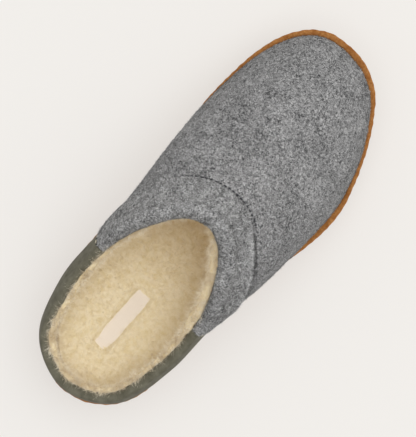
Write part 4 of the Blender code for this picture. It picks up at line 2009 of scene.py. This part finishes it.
    def strands(self, kind: Curls, rng: np.random.Generator) -> Strands:
        """Curls of one kind, evenly spread along the collar.

        Args:
            kind: their kind.
            rng: picks the places.

        Returns:
            The curls.
        """
        at = rng.uniform(0.0, LAST.round, kind.count * 4)
        row = rng.uniform(kind.first_row, kind.last_row, len(at))
        rim = np.ones_like(at)
        across = LAST.wall_curve(at + SEAM_STEP, rim) - LAST.wall_curve(at - SEAM_STEP, rim)
        roots = self.surface(at, row)
        spread = rng.uniform(0.0, self.curl_spread, len(at)) < np.linalg.norm(across, axis=1)
        kept = spread & (roots[:, 1] < self.curls_to_y)
        at, row, roots = at[kept][: kind.count], row[kept][: kind.count], roots[kept][: kind.count]
        inward, down_way = surface_frame(self.surface, at, row)
        normal, rim_up = LAST.wall_frame(at, np.ones_like(at))
        tuft = np.column_stack([lumps(roots, kind.tuft, seed) for seed in kind.tuft_seeds])
        loose = rng.normal(0.0, kind.scatter, (len(at), 3))
        stand = kind.inward * inward - kind.up * down_way + kind.rim_up * rim_up + kind.outward * normal
        lengths = rng.uniform(*kind.lengths, len(at))
        widths = rng.uniform(*kind.widths, len(at))
        pale = kind.pale + uneven(roots, (kind.shade,)) + rng.normal(0.0, 0.2, len(at))
        return Strands(
            roots=roots - self.curl_sunk * inward,
            ways=stand + kind.tuft_lean * tuft + loose,
            leans=0.6 * tuft + kind.scatter_bend * loose + kind.outward_bend * normal,
            lengths=lengths,
            widths=widths,
            curl=self.curl,
            shades=np.clip(pale, 0.0, 1.0),
            faces=inward,
            levels=kind.levels,
            seed=kind.seed,
        )

    def build(self) -> None:
        """Makes the lining, its curls and the tufts along the collar."""
        bm = lay_grid(self.columns, self.rows, self.place)
        bmesh.ops.solidify(bm, geom=bm.faces[:], thickness=-self.sheet * MM)
        add_piece("pile_lining", bm, WOOL_PILE, Slot.CREAM_PILE)
        rng = np.random.default_rng(63)
        for kind in self.kinds:
            show(kind.piece, self.strands(kind, rng).mesh(kind.piece), WOOL_CURLS, Slot.CREAM_PILE)


class SoftBox(NamedTuple):
    """Wide soft light: its strength, its width in degrees and the way that it stands."""

    strength: float
    width: float
    stands: Triple


@dataclass
class Studio:
    """Pale floor, two soft lights overhead, and the camera straight over the shoe."""

    floor_size: float = 8.0
    # Lit from below like a light table, so that shadows stay faint.
    floor_finish: Finish = Finish(
        "pale_floor", "#959391", 0.9, specular=0.1, glow=0.56, glow_colour="#FAF7F2"
    )
    sky: float = 0.6
    lights: tuple[SoftBox, ...] = (
        SoftBox(1.3, 60.0, (0.03, 0.05, 1.0)),
        SoftBox(0.7, 80.0, (0.15, 0.9, 1.0)),
    )
    camera_at: Triple = (-0.0515, 0.002, 1.5)
    aim: Triple = (-0.004, 0.0003, 0.033)
    picture_up: Triple = (-0.663, 0.748, 0.0)
    picture_pixels: float = 437.0
    pixel: float = 0.64
    sensor: float = 36.0

    def build(self) -> None:
        """Makes the floor, the light and the camera."""
        bpy.context.scene.view_settings.view_transform = "Standard"
        self.build_floor()
        self.build_light()
        self.build_camera()

    def build_floor(self) -> None:
        """Makes the floor."""
        bm = bmesh.new()
        bmesh.ops.create_grid(bm, x_segments=8, y_segments=8, size=self.floor_size / 2)
        mesh = bpy.data.meshes.new("floor")
        bm.to_mesh(mesh)
        bm.free()
        mesh.materials.append(self.floor_finish.material())
        floor = bpy.data.objects.new("floor", mesh)
        bpy.context.scene.collection.objects.link(floor)

    def build_light(self) -> None:
        """Makes the even sky and the soft boxes."""
        world = bpy.data.worlds.new("studio")
        world.use_nodes = True
        sky = world.node_tree.nodes["Background"].inputs
        sky["Color"].default_value = (1.0, 1.0, 1.0, 1.0)
        sky["Strength"].default_value = self.sky
        bpy.context.scene.world = world
        for box in self.lights:
            lamp = bpy.data.lights.new("softbox", "SUN")
            lamp.energy = box.strength
            lamp.angle = math.radians(box.width)
            light = bpy.data.objects.new("softbox", lamp)
            light.rotation_euler = Vector(box.stands).to_track_quat("Z", "Y").to_euler()
            bpy.context.scene.collection.objects.link(light)

    def build_camera(self) -> None:
        """Makes the camera, rolled so that the toe points up to the right."""
        place, aim = Vector(self.camera_at), Vector(self.aim)
        back = (place - aim).normalized()
        right = Vector(self.picture_up).cross(back).normalized()
        lens = bpy.data.cameras.new("camera")
        lens.sensor_width = self.sensor
        lens.lens = self.sensor * (place - aim).length / (self.picture_pixels * self.pixel * MM)
        camera = bpy.data.objects.new("camera", lens)
        turn = Matrix((right, back.cross(right), back)).transposed().to_4x4()
        camera.matrix_world = Matrix.Translation(place) @ turn
        bpy.context.scene.collection.objects.link(camera)
        bpy.context.scene.camera = camera


def main() -> None:
    """Builds the slipper piece by piece."""
    logging.basicConfig(level=logging.INFO, format="%(name)s %(message)s")
    parts = (SuedeSole, StitchedEdge, FeltUpper, FeltCuff, HeelCounter, Footbed, PileLining, Studio)
    for part in parts:
        part().build()


if __name__ == "__main__":
    main()
